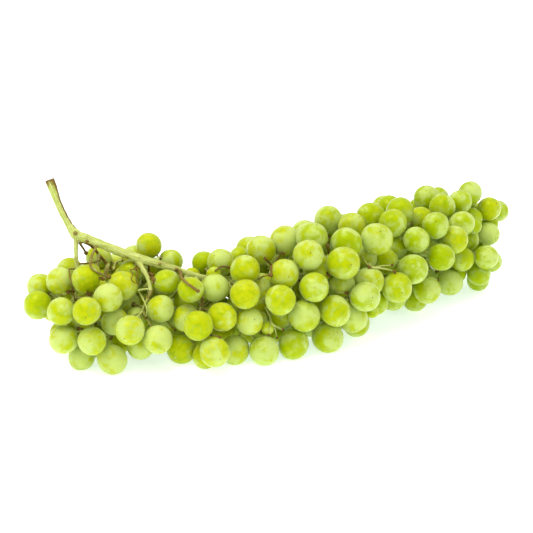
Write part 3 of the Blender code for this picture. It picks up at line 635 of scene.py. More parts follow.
class Hollow:
    """The space inside the bunch, between its outer berries and its stems, and the berries laid there."""

    def __init__(self, bunch):
        self.rng = np.random.default_rng(SEED + 1)
        self.body = Body()
        self.bare = bare_stretch()
        self.p, self.radius = bunch["berry"], bunch["radius"]
        self.outer, branches = len(self.p), len(bunch["root"])
        self.low, self.high = self.p.min(0), self.p.max(0)
        left, right = (self.p - self.radius[:, None]).min(0)[0], (self.p + self.radius[:, None]).max(0)[0]
        self.middle, self.half = (left + right) / 2, (right - left) / 2
        a, b, thick = main_segments()
        self.stems = len(a) + branches
        self.a = np.vstack([a, bunch["root"], bunch["pedicel_root"]])
        self.b = np.vstack([b, bunch["tip"], self.p - bunch["pedicel_way"] * self.radius[:, None]])
        branch_radius, pedicel_radius = np.full(branches, BRANCH_RADIUS), np.full(self.outer, PEDICEL_RADIUS)
        self.thick = np.concatenate([thick, branch_radius, pedicel_radius])

    def add(self, spot, size):
        self.p, self.radius = np.vstack([self.p, spot]), np.append(self.radius, size)

    def room(self, spots):
        """How large a berry fits at each spot, between the other berries and the stems."""
        room = (np.linalg.norm(spots[:, None] - self.p[None], axis=2) - self.radius[None]).min(1)
        off_stems = np.linalg.norm(off_segments(spots, self.a, self.b), axis=2) - self.thick[None]
        return np.minimum(room, off_stems.min(1))

    def close_gap(self, way):
        """Lay a berry near a sight line that would pass through the bunch, as deep as it has room."""
        depths = np.arange(LOOK_FROM, LOOK_TO, 2 * LOOK_STEP)[:, None]
        if not open_to(way, self.p, self.radius) or self.body.depth(EYE + way * depths, 0).min() >= GAP_DEPTH:
            return
        across = unit(np.cross(way, [0, 0, 1.0]))
        beside = GAP_ASIDE[:, :1] * across + GAP_ASIDE[:, 1:] * np.cross(across, way)
        spots = (EYE + way * depths[..., None] + beside[None]).reshape(-1, 3)
        off = np.tile(np.linalg.norm(GAP_ASIDE, axis=1), len(depths))
        inside = (self.body.depth(spots, SHALLOW) < 1) & (spots[:, 2] > LEAST_INNER)
        inside &= np.abs(spots[:, 0] - self.middle) < self.half - GAP_ENDS
        inside &= ~hides(spots, GAP_HIDING, self.bare)
        for kept in (inside & (self.body.depth(spots, DEEP) < DEEP_SHARE), inside):
            at = spots[kept]
            room = np.minimum(self.room(at), at[:, 2] + FLATTENED) - INNER_CLEAR
            room[room < off[kept] + GAP_OVERLAP] = 0
            if room.max(initial=0) > LEAST_INNER + GAP_ROOM:
                break
        if room.max(initial=0) >= LEAST_INNER:
            wide = np.flatnonzero(room >= min(ROOMY, room.max()))
            best = wide[np.argmax(np.linalg.norm(at[wide] - EYE, axis=1))]
            self.add(at[best], min(room[best], INNER_SIZES[1] - 0.5))

    def keep_company(self, k):
        """Lay some berries on the inner side of one that hangs alone, where the eye doesn't see them."""
        beside = np.linalg.norm(self.p - self.p[k], axis=1) - self.radius - self.radius[k]
        if (beside < LONELY).sum() > 1:
            return
        inward = unit(self.body.centre[self.body.station(self.p[k:k + 1])[0]] - self.p[k])
        company = 0
        for _ in range(COMPANY_TRIES):
            size = self.rng.uniform(*INNER_SIZES)
            way = unit(inward + COMPANY_SPREAD * unit(self.rng.normal(size=3)))
            spot = self.p[k] + way * (self.radius[k] + size + COMPANY_APART)
            fits = min(self.room(spot[None])[0], spot[2] + FLATTENED) > size + 0.1
            if fits and company < COMPANY and out_of_sight(spot, size, self.p, self.radius):
                self.add(spot, size)
                company += 1

    def pushed(self, spot, size):
        """The spot again, moved off what a berry of this size would overlap there."""
        for _ in range(PUSHES):
            spot = spot + step_off(spot - self.p, size + self.radius)
            spot = spot + step_off(off_segments(spot[None], self.a, self.b)[0], size + self.thick)
            spot[2] = max(spot[2], size - FLATTENED)
        return spot

    def fill(self):
        """Lay berries at random in what is still empty."""
        for _ in range(TRIES):
            spot = self.low + (self.high - self.low) * self.rng.random(3)
            size = self.rng.uniform(*INNER_SIZES)
            if self.body.depth(spot[None], 0)[0] > INNER_DEPTH:
                continue
            spot = self.pushed(spot, size)
            fits = self.room(spot[None])[0] >= size - INNER_OVERLAP
            fits &= abs(spot[0] - self.middle) <= self.half - size
            fits &= self.body.depth(spot[None], 0)[0] <= INNER_DEPTH + 0.05
            if (fits and not hides(spot[None], size, self.bare)[0]
                    and out_of_sight(spot, size, self.p, self.radius)):
                self.add(spot, size)
            if len(self.p) - self.outer == INNER_BERRIES:
                break


def lay_inner(bunch):
    """More berries in the hollow between the outer ones and the stems, each on the stem nearest to it."""
    hollow = Hollow(bunch)
    for way in gap_ways(hollow.p, hollow.radius):
        hollow.close_gap(way)
    for k in range(hollow.outer):
        hollow.keep_company(k)
    hollow.fill()
    inner = hollow.p[hollow.outer:]
    away = off_segments(inner, hollow.a[:hollow.stems], hollow.b[:hollow.stems])
    nearest = np.argmin(np.linalg.norm(away, axis=2) - hollow.thick[:hollow.stems], axis=1)
    roots = inner - away[np.arange(len(inner)), nearest]
    return {"berry": inner, "radius": hollow.radius[hollow.outer:], "pedicel_root": roots,
            "pedicel_way": unit(inner - roots)}


BUNCH = grow()
SHIFT = footprint_middle(BUNCH)
INNER = lay_inner(BUNCH)
CENTRES = np.vstack([BUNCH["berry"], INNER["berry"]]) - SHIFT
RADII = np.concatenate([BUNCH["radius"], INNER["radius"]]) * SWELL
ROOTS = np.vstack([BUNCH["pedicel_root"], INNER["pedicel_root"]]) - SHIFT
WAYS = np.vstack([BUNCH["pedicel_way"], INNER["pedicel_way"]])
OUTER = len(BUNCH["berry"])
BUNCH_LENGTH = np.ptp(CENTRES[:, 0])
BALL_POINTS, BALL_FACES = ball(4)


def pressed(points, i):
    """Flatten a berry's skin softly where it meets its neighbours and the table."""
    away = CENTRES - CENTRES[i]
    far = np.linalg.norm(away, axis=1)
    far[i] = np.inf
    planes = []
    for j in np.flatnonzero(far < RADII + RADII[i] + PRESS_REACH):
        meet = (far[j] ** 2 + RADII[i] ** 2 - RADII[j] ** 2) / (2 * far[j]) - TOUCH_GAP / 2
        planes.append((away[j] / far[j], meet))
    if CENTRES[i, 2] < RADII[i] + PRESS_REACH:
        planes.append((np.array([0, 0, -1.0]), CENTRES[i, 2]))
    for normal, meet in planes:
        over = (points - CENTRES[i]) @ normal - meet
        back = 0.5 * (over + np.sqrt(over ** 2 + PRESS_SOFTNESS ** 2))
        points = points - normal * np.where(over > -3 * PRESS_SOFTNESS, back, 0)[:, None]
    points[:, 2] = np.maximum(points[:, 2], 0.0)
    return points


def berry_part(i):
    """One berry's skin with what its finish reads: places on the skin, the axis and the berry's kind."""
    rng = np.random.default_rng(SEED * 1000 + i)
    axes = berry_axes(WAYS[i], rng.uniform(0, 2 * math.pi))
    x, y, z = BALL_POINTS.T
    turn = np.arctan2(y, x)
    girth = 1 + LOBES * np.cos(3 * turn + rng.uniform(0, 6)) + LOBES * rng.normal() * np.cos(2 * turn)
    girth = girth * (1 + TAPER * rng.normal() * z)
    length = rng.uniform(*LENGTHS)
    local = np.stack([x * girth, y * girth, z * length], -1) * RADII[i] * SKIN_SHARE
    local[:, 2] += DIMPLE_DEPTH * np.exp(-((z + 1) / DIMPLE_WIDTH))
    local[:, 2] -= SCAR_DEPTH * np.exp(-((1 - z) / SCAR_WIDTH))
    points = pressed(CENTRES[i] + local @ axes, i)
    ripeness = np.clip(0.5 - CENTRES[i, 0] / BUNCH_LENGTH + 0.2 * rng.normal(), 0, 1)
    place = BALL_POINTS * RADII[i] + rng.uniform(-NOISE_APART, NOISE_APART, 3)
    # inner berries keep less of the whitish bloom, as painted shade
    kind = [rng.random() * (1 if i < OUTER else SHADED_INNER_BLOOM), rng.random(), ripeness]
    return {"points": points, "faces": BALL_FACES, "skin_at": place, "skin_axis": z,
            "skin_kind": np.tile(kind, (len(points), 1))}


def joined(shapes):
    """Points and faces of several shapes as one."""
    points = [own for own, _ in shapes]
    bases = np.cumsum([0] + [len(p) for p in points]).tolist()
    faces = [[k + base for k in face] for (_, own), base in zip(shapes, bases) for face in own]
    return np.vstack(points), faces


def placed(name, data):
    """A new object in the scene."""
    made = bpy.data.objects.new(name, data)
    bpy.context.scene.collection.objects.link(made)
    return made


def add_values(mesh, name, values):
    """A named value for each point of a mesh, which its finish reads."""
    values = np.asarray(values, np.float32)
    kind, field = ("FLOAT_VECTOR", "vector") if values.ndim == 2 else ("FLOAT", "value")
    mesh.attributes.new(name, kind, "POINT").data.foreach_set(field, values.ravel())


def add_piece(name, parts, finish, replaced=None):
    """Join parts to one smooth mesh object of the bunch. Points in millimetres."""
    points, faces = joined([(part["points"], part["faces"]) for part in parts])
    mesh = bpy.data.meshes.new(name)
    mesh.from_pydata((points * MM).tolist(), [], faces)
    for key in parts[0]:
        if key not in ("points", "faces"):
            add_values(mesh, key, np.concatenate([part[key] for part in parts]))
    mesh.materials.append(finish)
    mesh.shade_smooth()
    piece = placed(name, mesh)
    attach(piece, "root")
    if replaced:
        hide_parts(replaced)


def stem_guide(line, radius, dry):
    """A stem's course with its radius and how dry and brown it is, at each point."""
    count = len(line)
    return {"line": line, "radius": np.broadcast_to(radius, count).astype(float),
            "dry": np.broadcast_to(dry, count).astype(float)}


def tube(guide):
    """Points and faces of a closed tube along a guide."""
    line, radius = guide["line"], guide["radius"]
    forward = unit(np.gradient(line, axis=0))
    side = unit(np.cross(forward[0], TUBE_START))
    turn = (np.arange(TUBE_SIDES) * 2 * math.pi / TUBE_SIDES)[:, None]
    rings = []
    for i in range(len(line)):
        side = unit(side - forward[i] * (side @ forward[i]))
        rings.append(line[i] + radius[i] * (np.cos(turn) * side + np.sin(turn) * np.cross(forward[i], side)))
    points = np.vstack(rings + [line[:1], line[-1:]])
    around = [(k, (k + 1) % TUBE_SIDES) for k in range(TUBE_SIDES)]
    starts = [i * TUBE_SIDES for i in range(len(line) - 1)]
    faces = [[s + a, s + b, s + b + TUBE_SIDES, s + a + TUBE_SIDES] for s in starts for a, b in around]
    first, last, end = len(points) - 2, len(points) - 1, starts[-1] + TUBE_SIDES
    for a, b in around:
        faces += [[first, b, a], [last, end + a, end + b]]
    return points, faces


def grown_together(guides, knobs, voxel):
    """Join tubes and knobs to one body with soft junctions, as a plant grows."""
    small, small_faces = ball(2)
    balls = [(centre + small * size, small_faces) for centre, size, _ in knobs]
    points, faces = joined([tube(guide) for guide in guides] + balls)
    mesh = bpy.data.meshes.new("raw_stem")
    mesh.from_pydata(points.tolist(), [], faces)
    raw = placed("raw_stem", mesh)
    remesh = raw.modifiers.new("grow together", "REMESH")
    remesh.mode = "VOXEL"
    remesh.voxel_size = voxel
    smooth = raw.modifiers.new("soften", "SMOOTH")
    smooth.factor = 0.5
    smooth.iterations = 3
    bpy.context.view_layer.update()
    grown = bpy.data.meshes.new_from_object(raw.evaluated_get(bpy.context.evaluated_depsgraph_get()))
    points = np.zeros(len(grown.vertices) * 3)
    grown.vertices.foreach_get("co", points)
    faces = np.zeros(len(grown.loops), np.int32)
    grown.loops.foreach_get("vertex_index", faces)
    bpy.data.objects.remove(raw)
    bpy.data.meshes.remove(mesh)
    bpy.data.meshes.remove(grown)
    return points.reshape(-1, 3), faces.reshape(-1, 4).tolist()


def stem_values(points, guides):
    """Where each point of a stem is on the bark, how dry and how far in painted shade, by the guide nearest
    to it.
    """
    a, radius, dry_a = (np.concatenate([g[key][:-1] for g in guides]) for key in ("line", "radius", "dry"))
    b, dry_b = (np.concatenate([g[key][1:] for g in guides]) for key in ("line", "dry"))
    along = np.concatenate([lengths_along(g["line"])[:-1] + BARK_APART * k for k, g in enumerate(guides)])
    forward = unit(b - a)
    side = unit(np.cross(forward, ODD_WAY))
    other = np.cross(forward, side)
    rows = []
    for part in np.array_split(points, max(1, len(points) // STEM_BATCH)):
        off = off_segments(part, a, b)
        nearest = np.argmin(np.linalg.norm(off, axis=2) - radius[None], axis=1)
        away = off[np.arange(len(part)), nearest]
        out = unit(away)
        run = np.linalg.norm(part - away - a[nearest], axis=1)
        share = run / np.maximum(np.linalg.norm(b - a, axis=1)[nearest], 1e-6)
        above_knee = part[:, 0] < PEDUNCLE[-1][0] - SHIFT[0]
        rows.append(np.stack([
            (out * side[nearest]).sum(-1) * BARK_SCALE, (out * other[nearest]).sum(-1) * BARK_SCALE,
            along[nearest] + run, dry_a[nearest] * (1 - share) + dry_b[nearest] * share,
            np.where(above_knee, out @ SHADED_SIDES[0], out @ SHADED_SIDES[1])], -1))
    rows = np.vstack(rows)
    return rows[:, :3], rows[:, 3], rows[:, 4]


def stem_part(guides, voxel, knobs=()):
    """A grown stem with the values that its finish reads."""
    points, faces = grown_together(guides, knobs, voxel)
    at, dry, under = stem_values(points, guides)
    for centre, size, aged in knobs:
        near = np.linalg.norm((points - centre) / size, axis=1)
        dry = np.maximum(dry, aged * np.clip(KNOB_SHADE - near, 0, 1))
    return {"points": points, "faces": faces, "stem_at": at, "stem_dry": dry, "stem_painted_shade": under}


def pedicel_guide(i):
    """A pedicel from its branch to its berry, with the collar that holds the berry."""
    rng = np.random.default_rng(SEED * 2000 + i)
    end = CENTRES[i] - WAYS[i] * (RADII[i] - DIMPLE_DEPTH - PEDICEL_SEAT)
    length = np.linalg.norm(end - ROOTS[i])
    sag = unit(np.cross(WAYS[i], rng.normal(size=3))) * PEDICEL_SAG * length
    share = np.linspace(0, 1, PEDICEL_POINTS)
    line = ROOTS[i] + (end - ROOTS[i]) * share[:, None] + sag * np.sin(math.pi * share)[:, None]
    collar = np.clip((share * length - length + COLLAR_LENGTH) / COLLAR_LENGTH, 0, 1) ** 1.5
    radius = PEDICEL_THIN + PEDICEL_WIDER * share + COLLAR_WIDER * collar
    return stem_guide(line, radius, 0.1 + 0.6 * rng.random() + 2.5 * np.clip(share - 0.75, 0, 1) ** 1.2)


def skin_distance(direction, clear):
    """How far from the eye the first skin lies in one direction, with some space before it."""
    toward = CENTRES + SHIFT - EYE
    along = toward @ direction
    reach = (RADII + clear) ** 2 - ((toward ** 2).sum(1) - along ** 2)
    return (along - np.sqrt(np.maximum(reach, 0)))[reach > 0].min(initial=LOOK_TO)


def twig_guide(pixels, radius, dry):
    """A twig on the skin of the bunch where the photograph shows it, grown from the nearest stem."""
    ways = np.array([sight(x, y) for x, y in evenly(smooth_line(pixels, 5), TWIG_STEP)])
    a, b, thick = main_segments()
    a, b = np.vstack([a, BUNCH["root"]]), np.vstack([b, BUNCH["tip"]])
    thick = np.append(thick, np.full(len(BUNCH["root"]), BRANCH_RADIUS))
    middle = (a + b) / 2 - EYE
    far = []
    for way in ways:
        behind = (middle @ way)[np.argmin((middle ** 2).sum(1) - (middle @ way) ** 2)]
        far.append(min(skin_distance(way, radius + TWIG_AIR), behind + TWIG_BEHIND))
    steps = np.abs(np.arange(len(far))[:, None] - np.arange(len(far))[None])
    far = (np.array(far)[None] + TWIG_DIVE * steps).min(1)
    line = EYE + ways * far[:, None]
    away = off_segments(line[:1], a, b)[0]
    beside = away - (away @ ways[0])[:, None] * ways[0]
    nearest = np.argmin(np.linalg.norm(away, axis=1) + TWIG_ASIDE * np.linalg.norm(beside, axis=1) - thick)
    root = line[0] - away[nearest]
    share = np.linspace(0, 1, 2 + round(np.linalg.norm(away[nearest]) / 1.5))[:-1, None]
    line = np.vstack([root + (line[0] - root) * share, line]) - SHIFT
    return stem_guide(line, radius * np.linspace(1.15, 0.9, len(line)), dry)


def node(tree, kind, inputs=None, **settings):
    """Add one shader node, with its settings and what goes into it."""
    made = tree.nodes.new(kind)
    for key, value in settings.items():
        setattr(made, key, value)
    for key, value in (inputs or {}).items():
        if isinstance(value, bpy.types.NodeSocket):
            tree.links.new(value, made.inputs[key])
        else:
            made.inputs[key].default_value = value
    return made.outputs


def mixed(tree, share, first, second):
    """Two colours mixed by a share."""
    colours = [value if isinstance(value, bpy.types.NodeSocket) else (*value, 1) for value in (first, second)]
    inputs = {0: share, 6: colours[0], 7: colours[1]}
    return node(tree, "ShaderNodeMix", inputs, data_type="RGBA")[2]


def ramp(tree, value, from_low, from_high, to_low=0.0, to_high=1.0):
    """A value stretched from one range to another, and kept in it."""
    return node(tree, "ShaderNodeMapRange", {"Value": value, "From Min": from_low, "From Max": from_high,
                                             "To Min": to_low, "To Max": to_high},
                interpolation_type="SMOOTHSTEP")["Result"]


def maths(tree, operation, first, second):
    return node(tree, "ShaderNodeMath", {0: first, 1: second}, operation=operation)["Value"]


def varied(tree, value, by, share):
    """A value with some of another added, which varies around a half."""
    return maths(tree, "ADD", value, maths(tree, "MULTIPLY", maths(tree, "SUBTRACT", by, 0.5), share))


def stored(tree, name, socket="Fac"):
    """A value that the mesh holds at each point."""
    return node(tree, "ShaderNodeAttribute", attribute_name=name)[socket]


def noise(tree, at, scale, detail, **more):
    return node(tree, "ShaderNodeTexNoise", {"Vector": at, "Scale": scale, "Detail": detail, **more})["Fac"]


def bumped(tree, height, strength, distance):
    inputs = {"Height": height, "Strength": strength, "Distance": distance}
    return node(tree, "ShaderNodeBump", inputs)["Normal"]


def new_finish(name):
    finish = bpy.data.materials.new(name)
    finish.use_nodes = True
    finish.node_tree.nodes.clear()
    return finish, finish.node_tree


def surface(tree, inputs):
    """The surface of a finish."""
    shader = node(tree, "ShaderNodeBsdfPrincipled", inputs)["BSDF"]
    node(tree, "ShaderNodeOutputMaterial", {"Surface": shader})


def waxy_skin(settings):
    """Thin waxy skin over clear flesh: bloom, rubbed patches, grain, specks and the tip's scar."""
    finish, tree = new_finish("waxy_skin")
    at, axis = stored(tree, "skin_at", "Vector"), stored(tree, "skin_axis")
    kinds = node(tree, "ShaderNodeSeparateXYZ", {"Vector": stored(tree, "skin_kind", "Vector")})
    wax, shade, ripeness = kinds["X"], kinds["Y"], kinds["Z"]
    patches = noise(tree, at, 0.12, 2.0, Distortion=0.3)
    cloud = noise(tree, at, 0.4, 4.0)
    grain = noise(tree, at, 2.4, 4.0)
    # flesh: rubbed skin, more golden or greener with ripeness
    golden = maths(tree, "ADD", maths(tree, "MULTIPLY", shade, 0.4), maths(tree, "MULTIPLY", ripeness, 0.7))
    golden = ramp(tree, golden, 0.3, 1.0, 0.0, 0.8)
    colour = mixed(tree, golden, settings.rubbed_colour, settings.golden_colour)
    colour = mixed(tree, ramp(tree, ripeness, 0.5, 0.0, 0.0, 0.35), colour, settings.green_colour)
    colour = mixed(tree, ramp(tree, cloud, 0.4, 0.7, 0.0, 0.6), colour, settings.green_colour)
    # bloom over it
    # the bloom share is lower on inner berries, which paints them as in shade
    waxy = varied(tree, varied(tree, patches, cloud, 0.42), wax, 0.2)
    bloom = maths(tree, "MULTIPLY", ramp(tree, waxy, 0.38, 0.67), settings.bloom)
    colour = mixed(tree, bloom, colour, settings.bloom_colour)
    colour = mixed(tree, ramp(tree, grain, 0.35, 0.75, 0.0, 0.22), colour, settings.green_colour)
    # specks on some places, the scar at the tip and the green ring at the stem end
    cells = node(tree, "ShaderNodeTexVoronoi", {"Vector": at, "Scale": 0.42, "Randomness": 1.0})
    chosen = ramp(tree, node(tree, "ShaderNodeSeparateColor", {"Color": cells["Color"]})["Red"], 0.55, 0.6)
    speck = maths(tree, "MULTIPLY", ramp(tree, cells["Distance"], 0.05, 0.1, 1.0, 0.0), chosen)
    colour = mixed(tree, maths(tree, "MULTIPLY", speck, 0.55), colour, settings.speck_colour)
    scar = ramp(tree, maths(tree, "ADD", axis, maths(tree, "MULTIPLY", grain, 0.002)), 0.9965, 0.999)
    scar = maths(tree, "MULTIPLY", scar, ramp(tree, shade, 0.2, 0.7, 0.15, 0.85))
    colour = mixed(tree, scar, colour, settings.speck_colour)
    ring = maths(tree, "MULTIPLY", ramp(tree, axis, -0.95, -0.995), 0.5)
    colour = mixed(tree, ring, colour, settings.green_colour)
    height = maths(tree, "ADD", maths(tree, "MULTIPLY", grain, 0.4), maths(tree, "MULTIPLY", cloud, 0.6))
    surface(tree, {
        "Base Color": colour, "Roughness": ramp(tree, bloom, 0.0, 1.0, 0.2, 0.42), "IOR": 1.45,
        "Normal": bumped(tree, height, 0.12, 0.0004), "Specular IOR Level": 0.35,
        "Specular Tint": (0.95, 1.0, 0.2, 1), "Sheen Weight": 0.35, "Sheen Roughness": 0.35,
        "Sheen Tint": (0.9, 1.0, 0.35, 1), "Subsurface Weight": settings.clear_flesh,
        "Subsurface Radius": (1.0, 0.85, 0.22), "Subsurface Scale": settings.flesh_depth})
    return finish


def stem_bark(settings):
    """Green stem with fibres along it, brown where it is dry, at its nodes and at its ends, and brown on one
    side as painted shade.
    """
    finish, tree = new_finish("stem_bark")
    at = stored(tree, "stem_at", "Vector")
    long = node(tree, "ShaderNodeVectorMath", {0: at, 1: (1.0, 1.0, 0.13)}, operation="MULTIPLY")["Vector"]
    fibres = noise(tree, long, 1.3, 5.0, Roughness=0.6)
    patches = noise(tree, at, 0.22, 3.0)
    grain = noise(tree, at, 2.6, 3.0)
    aged = varied(tree, stored(tree, "stem_dry"), patches, 0.9)
    # painted shade: one side of each stem is darkened towards the dry brown
    aged = maths(tree, "ADD", aged, ramp(tree, stored(tree, "stem_painted_shade"), 0.62, 0.86, 0.0, 0.62))
    aged = varied(tree, aged, fibres, 0.8)
    colour = mixed(tree, ramp(tree, fibres, 0.35, 0.65), settings.pale_colour, settings.green_colour)
    colour = mixed(tree, ramp(tree, aged, 0.3, 0.95), colour, settings.dry_and_shade_colour)
    colour = mixed(tree, ramp(tree, grain, 0.62, 0.72, 0.0, 0.55), colour, settings.dark_colour)
    height = maths(tree, "ADD", fibres, maths(tree, "MULTIPLY", grain, 0.4))
    surface(tree, {
        "Base Color": colour, "Roughness": ramp(tree, aged, 0.0, 1.0, 0.45, 0.8),
        "Normal": bumped(tree, height, 0.5, 0.0006), "Specular IOR Level": 0.25, "Subsurface Weight": 0.15,
        "Subsurface Radius": (1.0, 0.9, 0.3), "Subsurface Scale": 0.001})
    return finish


def shared_skin(context):
    """The berries' finish, made at its first use."""
    return bpy.data.materials.get("waxy_skin") or waxy_skin(context.scene.grape_skin)


def shared_bark(context):
    """The stems' finish, made at its first use."""
    return bpy.data.materials.get("stem_bark") or stem_bark(context.scene.grape_stem)


def colour_setting(name, description, default):
    return bpy.props.FloatVectorProperty(name=name, description=description, default=default, subtype="COLOR",
                                         min=0, max=1)


def share_setting(name, description, default):
    return bpy.props.FloatProperty(name=name, description=description, default=default, subtype="FACTOR",
                                   min=0, max=1)


class GrapeSkinSettings(bpy.types.PropertyGroup):
    rubbed_colour: colour_setting("Rubbed skin", "Skin where the bloom is rubbed off", (0.45, 0.54, 0.0))
    golden_colour: colour_setting("Golden skin", "Skin of the ripest berries", (0.56, 0.58, 0.005))
    green_colour: colour_setting("Green skin", "Skin of the least ripe parts", (0.28, 0.42, 0.0))
    bloom_colour: colour_setting("Bloom colour", "Skin under its whitish wax", (0.62, 0.73, 0.25))
    speck_colour: colour_setting("Specks", "Small brown specks and the scar at the tip", (0.16, 0.09, 0.02))
    bloom: share_setting("Bloom", "How much wax is left", 0.74)
    clear_flesh: share_setting("Clear flesh", "How much light goes through the flesh", 0.55)
    flesh_depth: bpy.props.FloatProperty(
        name="Light depth", description="How deep light goes into the flesh", default=0.004, min=0,
        unit="LENGTH")


class GrapeStemSettings(bpy.types.PropertyGroup):
    pale_colour: colour_setting("Pale stem", "The palest fibres of the stem", (0.64, 0.68, 0.22))
    green_colour: colour_setting("Green stem", "The greenest fibres of the stem", (0.44, 0.52, 0.08))
    # this brown is also the painted shade on one side of the stems
    dry_and_shade_colour: colour_setting("Dry stem", "Stem where it has dried brown", (0.21, 0.12, 0.02))
    dark_colour: colour_setting("Dark flecks", "Small dark flecks on the bark", (0.07, 0.035, 0.006))
    fineness: bpy.props.FloatProperty(
        name="Fineness", description="Mesh size of the stems, in millimetres", default=0.36, min=0.2, max=1.0)


class GrapeStageSettings(bpy.types.PropertyGroup):
    floor_size: bpy.props.FloatProperty(
        name="Floor", description="Side of the floor", default=60.0, min=1, unit="LENGTH")
    sky: bpy.props.FloatProperty(
        name="Surround", description="Strength of the white surround", default=0.86, min=0)
    key: bpy.props.FloatProperty(name="Soft box", description="Power of the soft box", default=9.5, min=0)
    floor_glow: bpy.props.FloatProperty(
        name="Floor glow", description="Light that comes through the white table", default=0.6, min=0)


def lay_table(settings):
    """A plain white table that glows a little."""
    finish, tree = new_finish("white_table")
    surface(tree, {"Base Color": (0.88, 0.92, 0.94, 1), "Roughness": 0.7, "Specular IOR Level": 0.1,
                   "Emission Color": (0.86, 0.95, 1, 1), "Emission Strength": settings.floor_glow})
    half = settings.floor_size / 2
    corners = [(-half, -half, 0), (half, -half, 0), (half, half, 0), (-half, half, 0)]
    mesh = bpy.data.meshes.new("white_table")
    mesh.from_pydata(corners, [], [(0, 1, 2, 3)])
    mesh.materials.append(finish)
    placed("white_table", mesh)


def light(context, settings):
    """A white surround, brighter from above, and one soft box."""
    world = bpy.data.worlds.new("white_surround")
    world.use_nodes = True
    tree = world.node_tree
    direction = node(tree, "ShaderNodeTexCoord")["Generated"]
    height = node(tree, "ShaderNodeSeparateXYZ", {"Vector": direction})["Z"]
    strength = ramp(tree, height, -0.1, 0.8, settings.sky * SKY_LOW, settings.sky * SKY_HIGH)
    tree.links.new(strength, tree.nodes["Background"].inputs["Strength"])
    tree.nodes["Background"].inputs["Color"].default_value = (1, 1, 1, 1)
    context.scene.world = world
    lamp = bpy.data.lights.new("soft_box", "AREA")
    lamp.size = SOFT_BOX_SIZE
    lamp.energy = settings.key
    soft_box = placed("soft_box", lamp)
    soft_box.location = SOFT_BOX_PLACE
    soft_box.rotation_euler = (-Vector(SOFT_BOX_PLACE)).to_track_quat("-Z", "Y").to_euler()


def set_camera(context):
    """The camera at the photograph's eye."""
    camera = bpy.data.cameras.new("camera")
    camera.lens = EYE_FOCAL / (2 * EYE_MIDDLE) * camera.sensor_width
    eye = placed("camera", camera)
    eye.location = Vector((EYE - SHIFT) * MM)
    eye.rotation_euler = (math.pi / 2 - EYE_TILT, 0, 0)
    context.scene.camera = eye
    context.scene.view_settings.view_transform = "Standard"


class GRAPES_OT_stage(bpy.types.Operator):
    """Lay out the white table, the soft studio light and the camera"""
    bl_idname = "grapes.stage"
    bl_label = "Stage"

    def execute(self, context):
        lay_table(context.scene.grape_stage)
        light(context, context.scene.grape_stage)
        set_camera(context)
        return {"FINISHED"}


class GRAPES_OT_main_stem(bpy.types.Operator):
    """Grow the main stem with its side stems and the root of every side branch"""
    bl_idname = "grapes.main_stem"
    bl_label = "Main stem"

    def execute(self, context):
        rng = np.random.default_rng(SEED + 3)
        guides, knobs = [], []
        for points, dry, cut in ((PEDUNCLE[:-1] + RACHIS, 0.12, 0.75), (WING, 0.25, 0), (TWIG, 0.8, 0),
                                 (SIDE_STEM, 0.1, 0)):
            line = evenly(smooth_line(points, 6), 1.5)
            along = lengths_along(line)
            places = np.arange(0, along[-1] + BARK_TURNS, BARK_TURNS)
            aged = dry + 0.35 * np.interp(along, places, rng.random(len(places)))
            aged += cut * np.exp(-along / CUT_DRY)
            radius = line[:, 3] * (1 + 0.05 * rng.normal(size=len(line)))
            guides.append(stem_guide(line[:, :3] - SHIFT, radius, aged))
        for root, start in zip(BUNCH["root"], BUNCH["start"]):
            line = root + (start - root) * np.linspace(0, 1, 5)[:, None] - SHIFT
            radius = BRANCH_RADIUS * np.linspace(1.2, 0.8, 5)
            guides.append(stem_guide(line, radius, 0.3 + 0.5 * rng.random()))
            if rng.random() < 0.5:
                knobs.append((start - SHIFT, BRANCH_RADIUS * 1.1, 0.7))
        knobs += [(np.array(centre) - SHIFT, size, dry) for centre, size, dry in NODES]
        part = stem_part(guides, context.scene.grape_stem.fineness, knobs)
        add_piece("main_stem", [part], shared_bark(context), "stem")
        return {"FINISHED"}


class GRAPES_OT_pedicels(bpy.types.Operator):
    """Grow each spray's side branch with its pedicels and collars"""
    bl_idname = "grapes.pedicels"
    bl_label = "Side branches and pedicels"

    def execute(self, context):
        bark = shared_bark(context)
        for spray, (start, tip) in enumerate(zip(BUNCH["start"], BUNCH["tip"])):
            line = start + (tip - start) * np.linspace(-0.02, 1, 9)[:, None] - SHIFT
            rng = np.random.default_rng(SEED * 3000 + spray)
            guides = [stem_guide(line, np.linspace(BRANCH_RADIUS * 0.8, 0.65, 9), 0.3 + 0.5 * rng.random())]
            guides += [pedicel_guide(i) for i in np.flatnonzero(BUNCH["spray"] == spray)]
            part = stem_part(guides, context.scene.grape_stem.fineness * PEDICEL_FINENESS)
            add_piece(f"pedicels_{spray + 1:02d}", [part], bark, f"spray_{spray + 1:02d}")
        return {"FINISHED"}


class GRAPES_OT_berries(bpy.types.Operator):
    """Grow each spray's berries"""
    bl_idname = "grapes.berries"
    bl_label = "Berries"

    def execute(self, context):
        for spray in range(len(BUNCH["root"])):
            parts = [berry_part(i) for i in np.flatnonzero(BUNCH["spray"] == spray)]
            name, node_name = f"berries_{spray + 1:02d}", f"spray_{spray + 1:02d}"
            add_piece(name, parts, shared_skin(context), node_name)
        return {"FINISHED"}


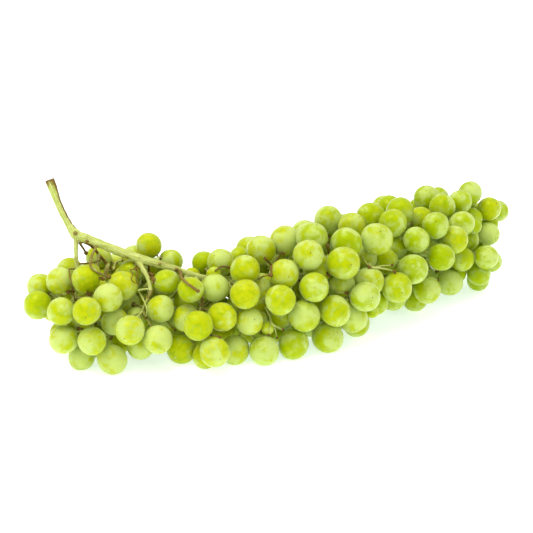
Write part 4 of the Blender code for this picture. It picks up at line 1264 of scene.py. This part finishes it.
class GRAPES_OT_inner_berries(bpy.types.Operator):
    """Grow the smaller berries inside the bunch with their pedicels"""
    bl_idname = "grapes.inner_berries"
    bl_label = "Inner berries"

    def execute(self, context):
        inner = range(OUTER, len(CENTRES))
        add_piece("inner_berries", [berry_part(i) for i in inner], shared_skin(context))
        fineness = context.scene.grape_stem.fineness * PEDICEL_FINENESS
        part = stem_part([pedicel_guide(i) for i in inner], fineness)
        add_piece("inner_pedicels", [part], shared_bark(context))
        return {"FINISHED"}


class GRAPES_OT_dried_twigs(bpy.types.Operator):
    """Grow the dried twigs, the bare pedicels and the knobs that berries dropped from"""
    bl_idname = "grapes.dried_twigs"
    bl_label = "Dried twigs"

    def execute(self, context):
        guides = [twig_guide(pixels, radius, dry) for pixels, radius, dry, _ in DRIED]
        knobs = [(guide["line"][-1], size, 1.0) for guide, (_, _, _, size) in zip(guides, DRIED)]
        part = stem_part(guides, context.scene.grape_stem.fineness * TWIG_FINENESS, knobs)
        add_piece("dried_twigs", [part], shared_bark(context))
        return {"FINISHED"}


class GRAPES_PT_sidebar(bpy.types.Panel):
    bl_label = "Bunch of grapes"
    bl_idname = "GRAPES_PT_sidebar"
    bl_space_type = "VIEW_3D"
    bl_region_type = "UI"
    bl_category = "Grapes"

    def draw(self, context):
        for operator in OPERATORS:
            self.layout.operator(operator.bl_idname)
        for group in (context.scene.grape_skin, context.scene.grape_stem, context.scene.grape_stage):
            for name in group.__annotations__:
                self.layout.prop(group, name)


GROUPS = {"grape_skin": GrapeSkinSettings, "grape_stem": GrapeStemSettings, "grape_stage": GrapeStageSettings}
OPERATORS = (GRAPES_OT_stage, GRAPES_OT_main_stem, GRAPES_OT_pedicels, GRAPES_OT_berries,
             GRAPES_OT_inner_berries, GRAPES_OT_dried_twigs)
CLASSES = (*GROUPS.values(), *OPERATORS, GRAPES_PT_sidebar)


def register():
    for cls in CLASSES:
        bpy.utils.register_class(cls)
    for name, group in GROUPS.items():
        setattr(bpy.types.Scene, name, bpy.props.PointerProperty(type=group))


def unregister():
    for name in GROUPS:
        delattr(bpy.types.Scene, name)
    for cls in reversed(CLASSES):
        bpy.utils.unregister_class(cls)


def main():
    register()
    bpy.ops.grapes.stage()
    bpy.ops.grapes.main_stem()
    bpy.ops.grapes.pedicels()
    bpy.ops.grapes.berries()
    bpy.ops.grapes.inner_berries()
    bpy.ops.grapes.dried_twigs()


if __name__ == "__main__":
    main()
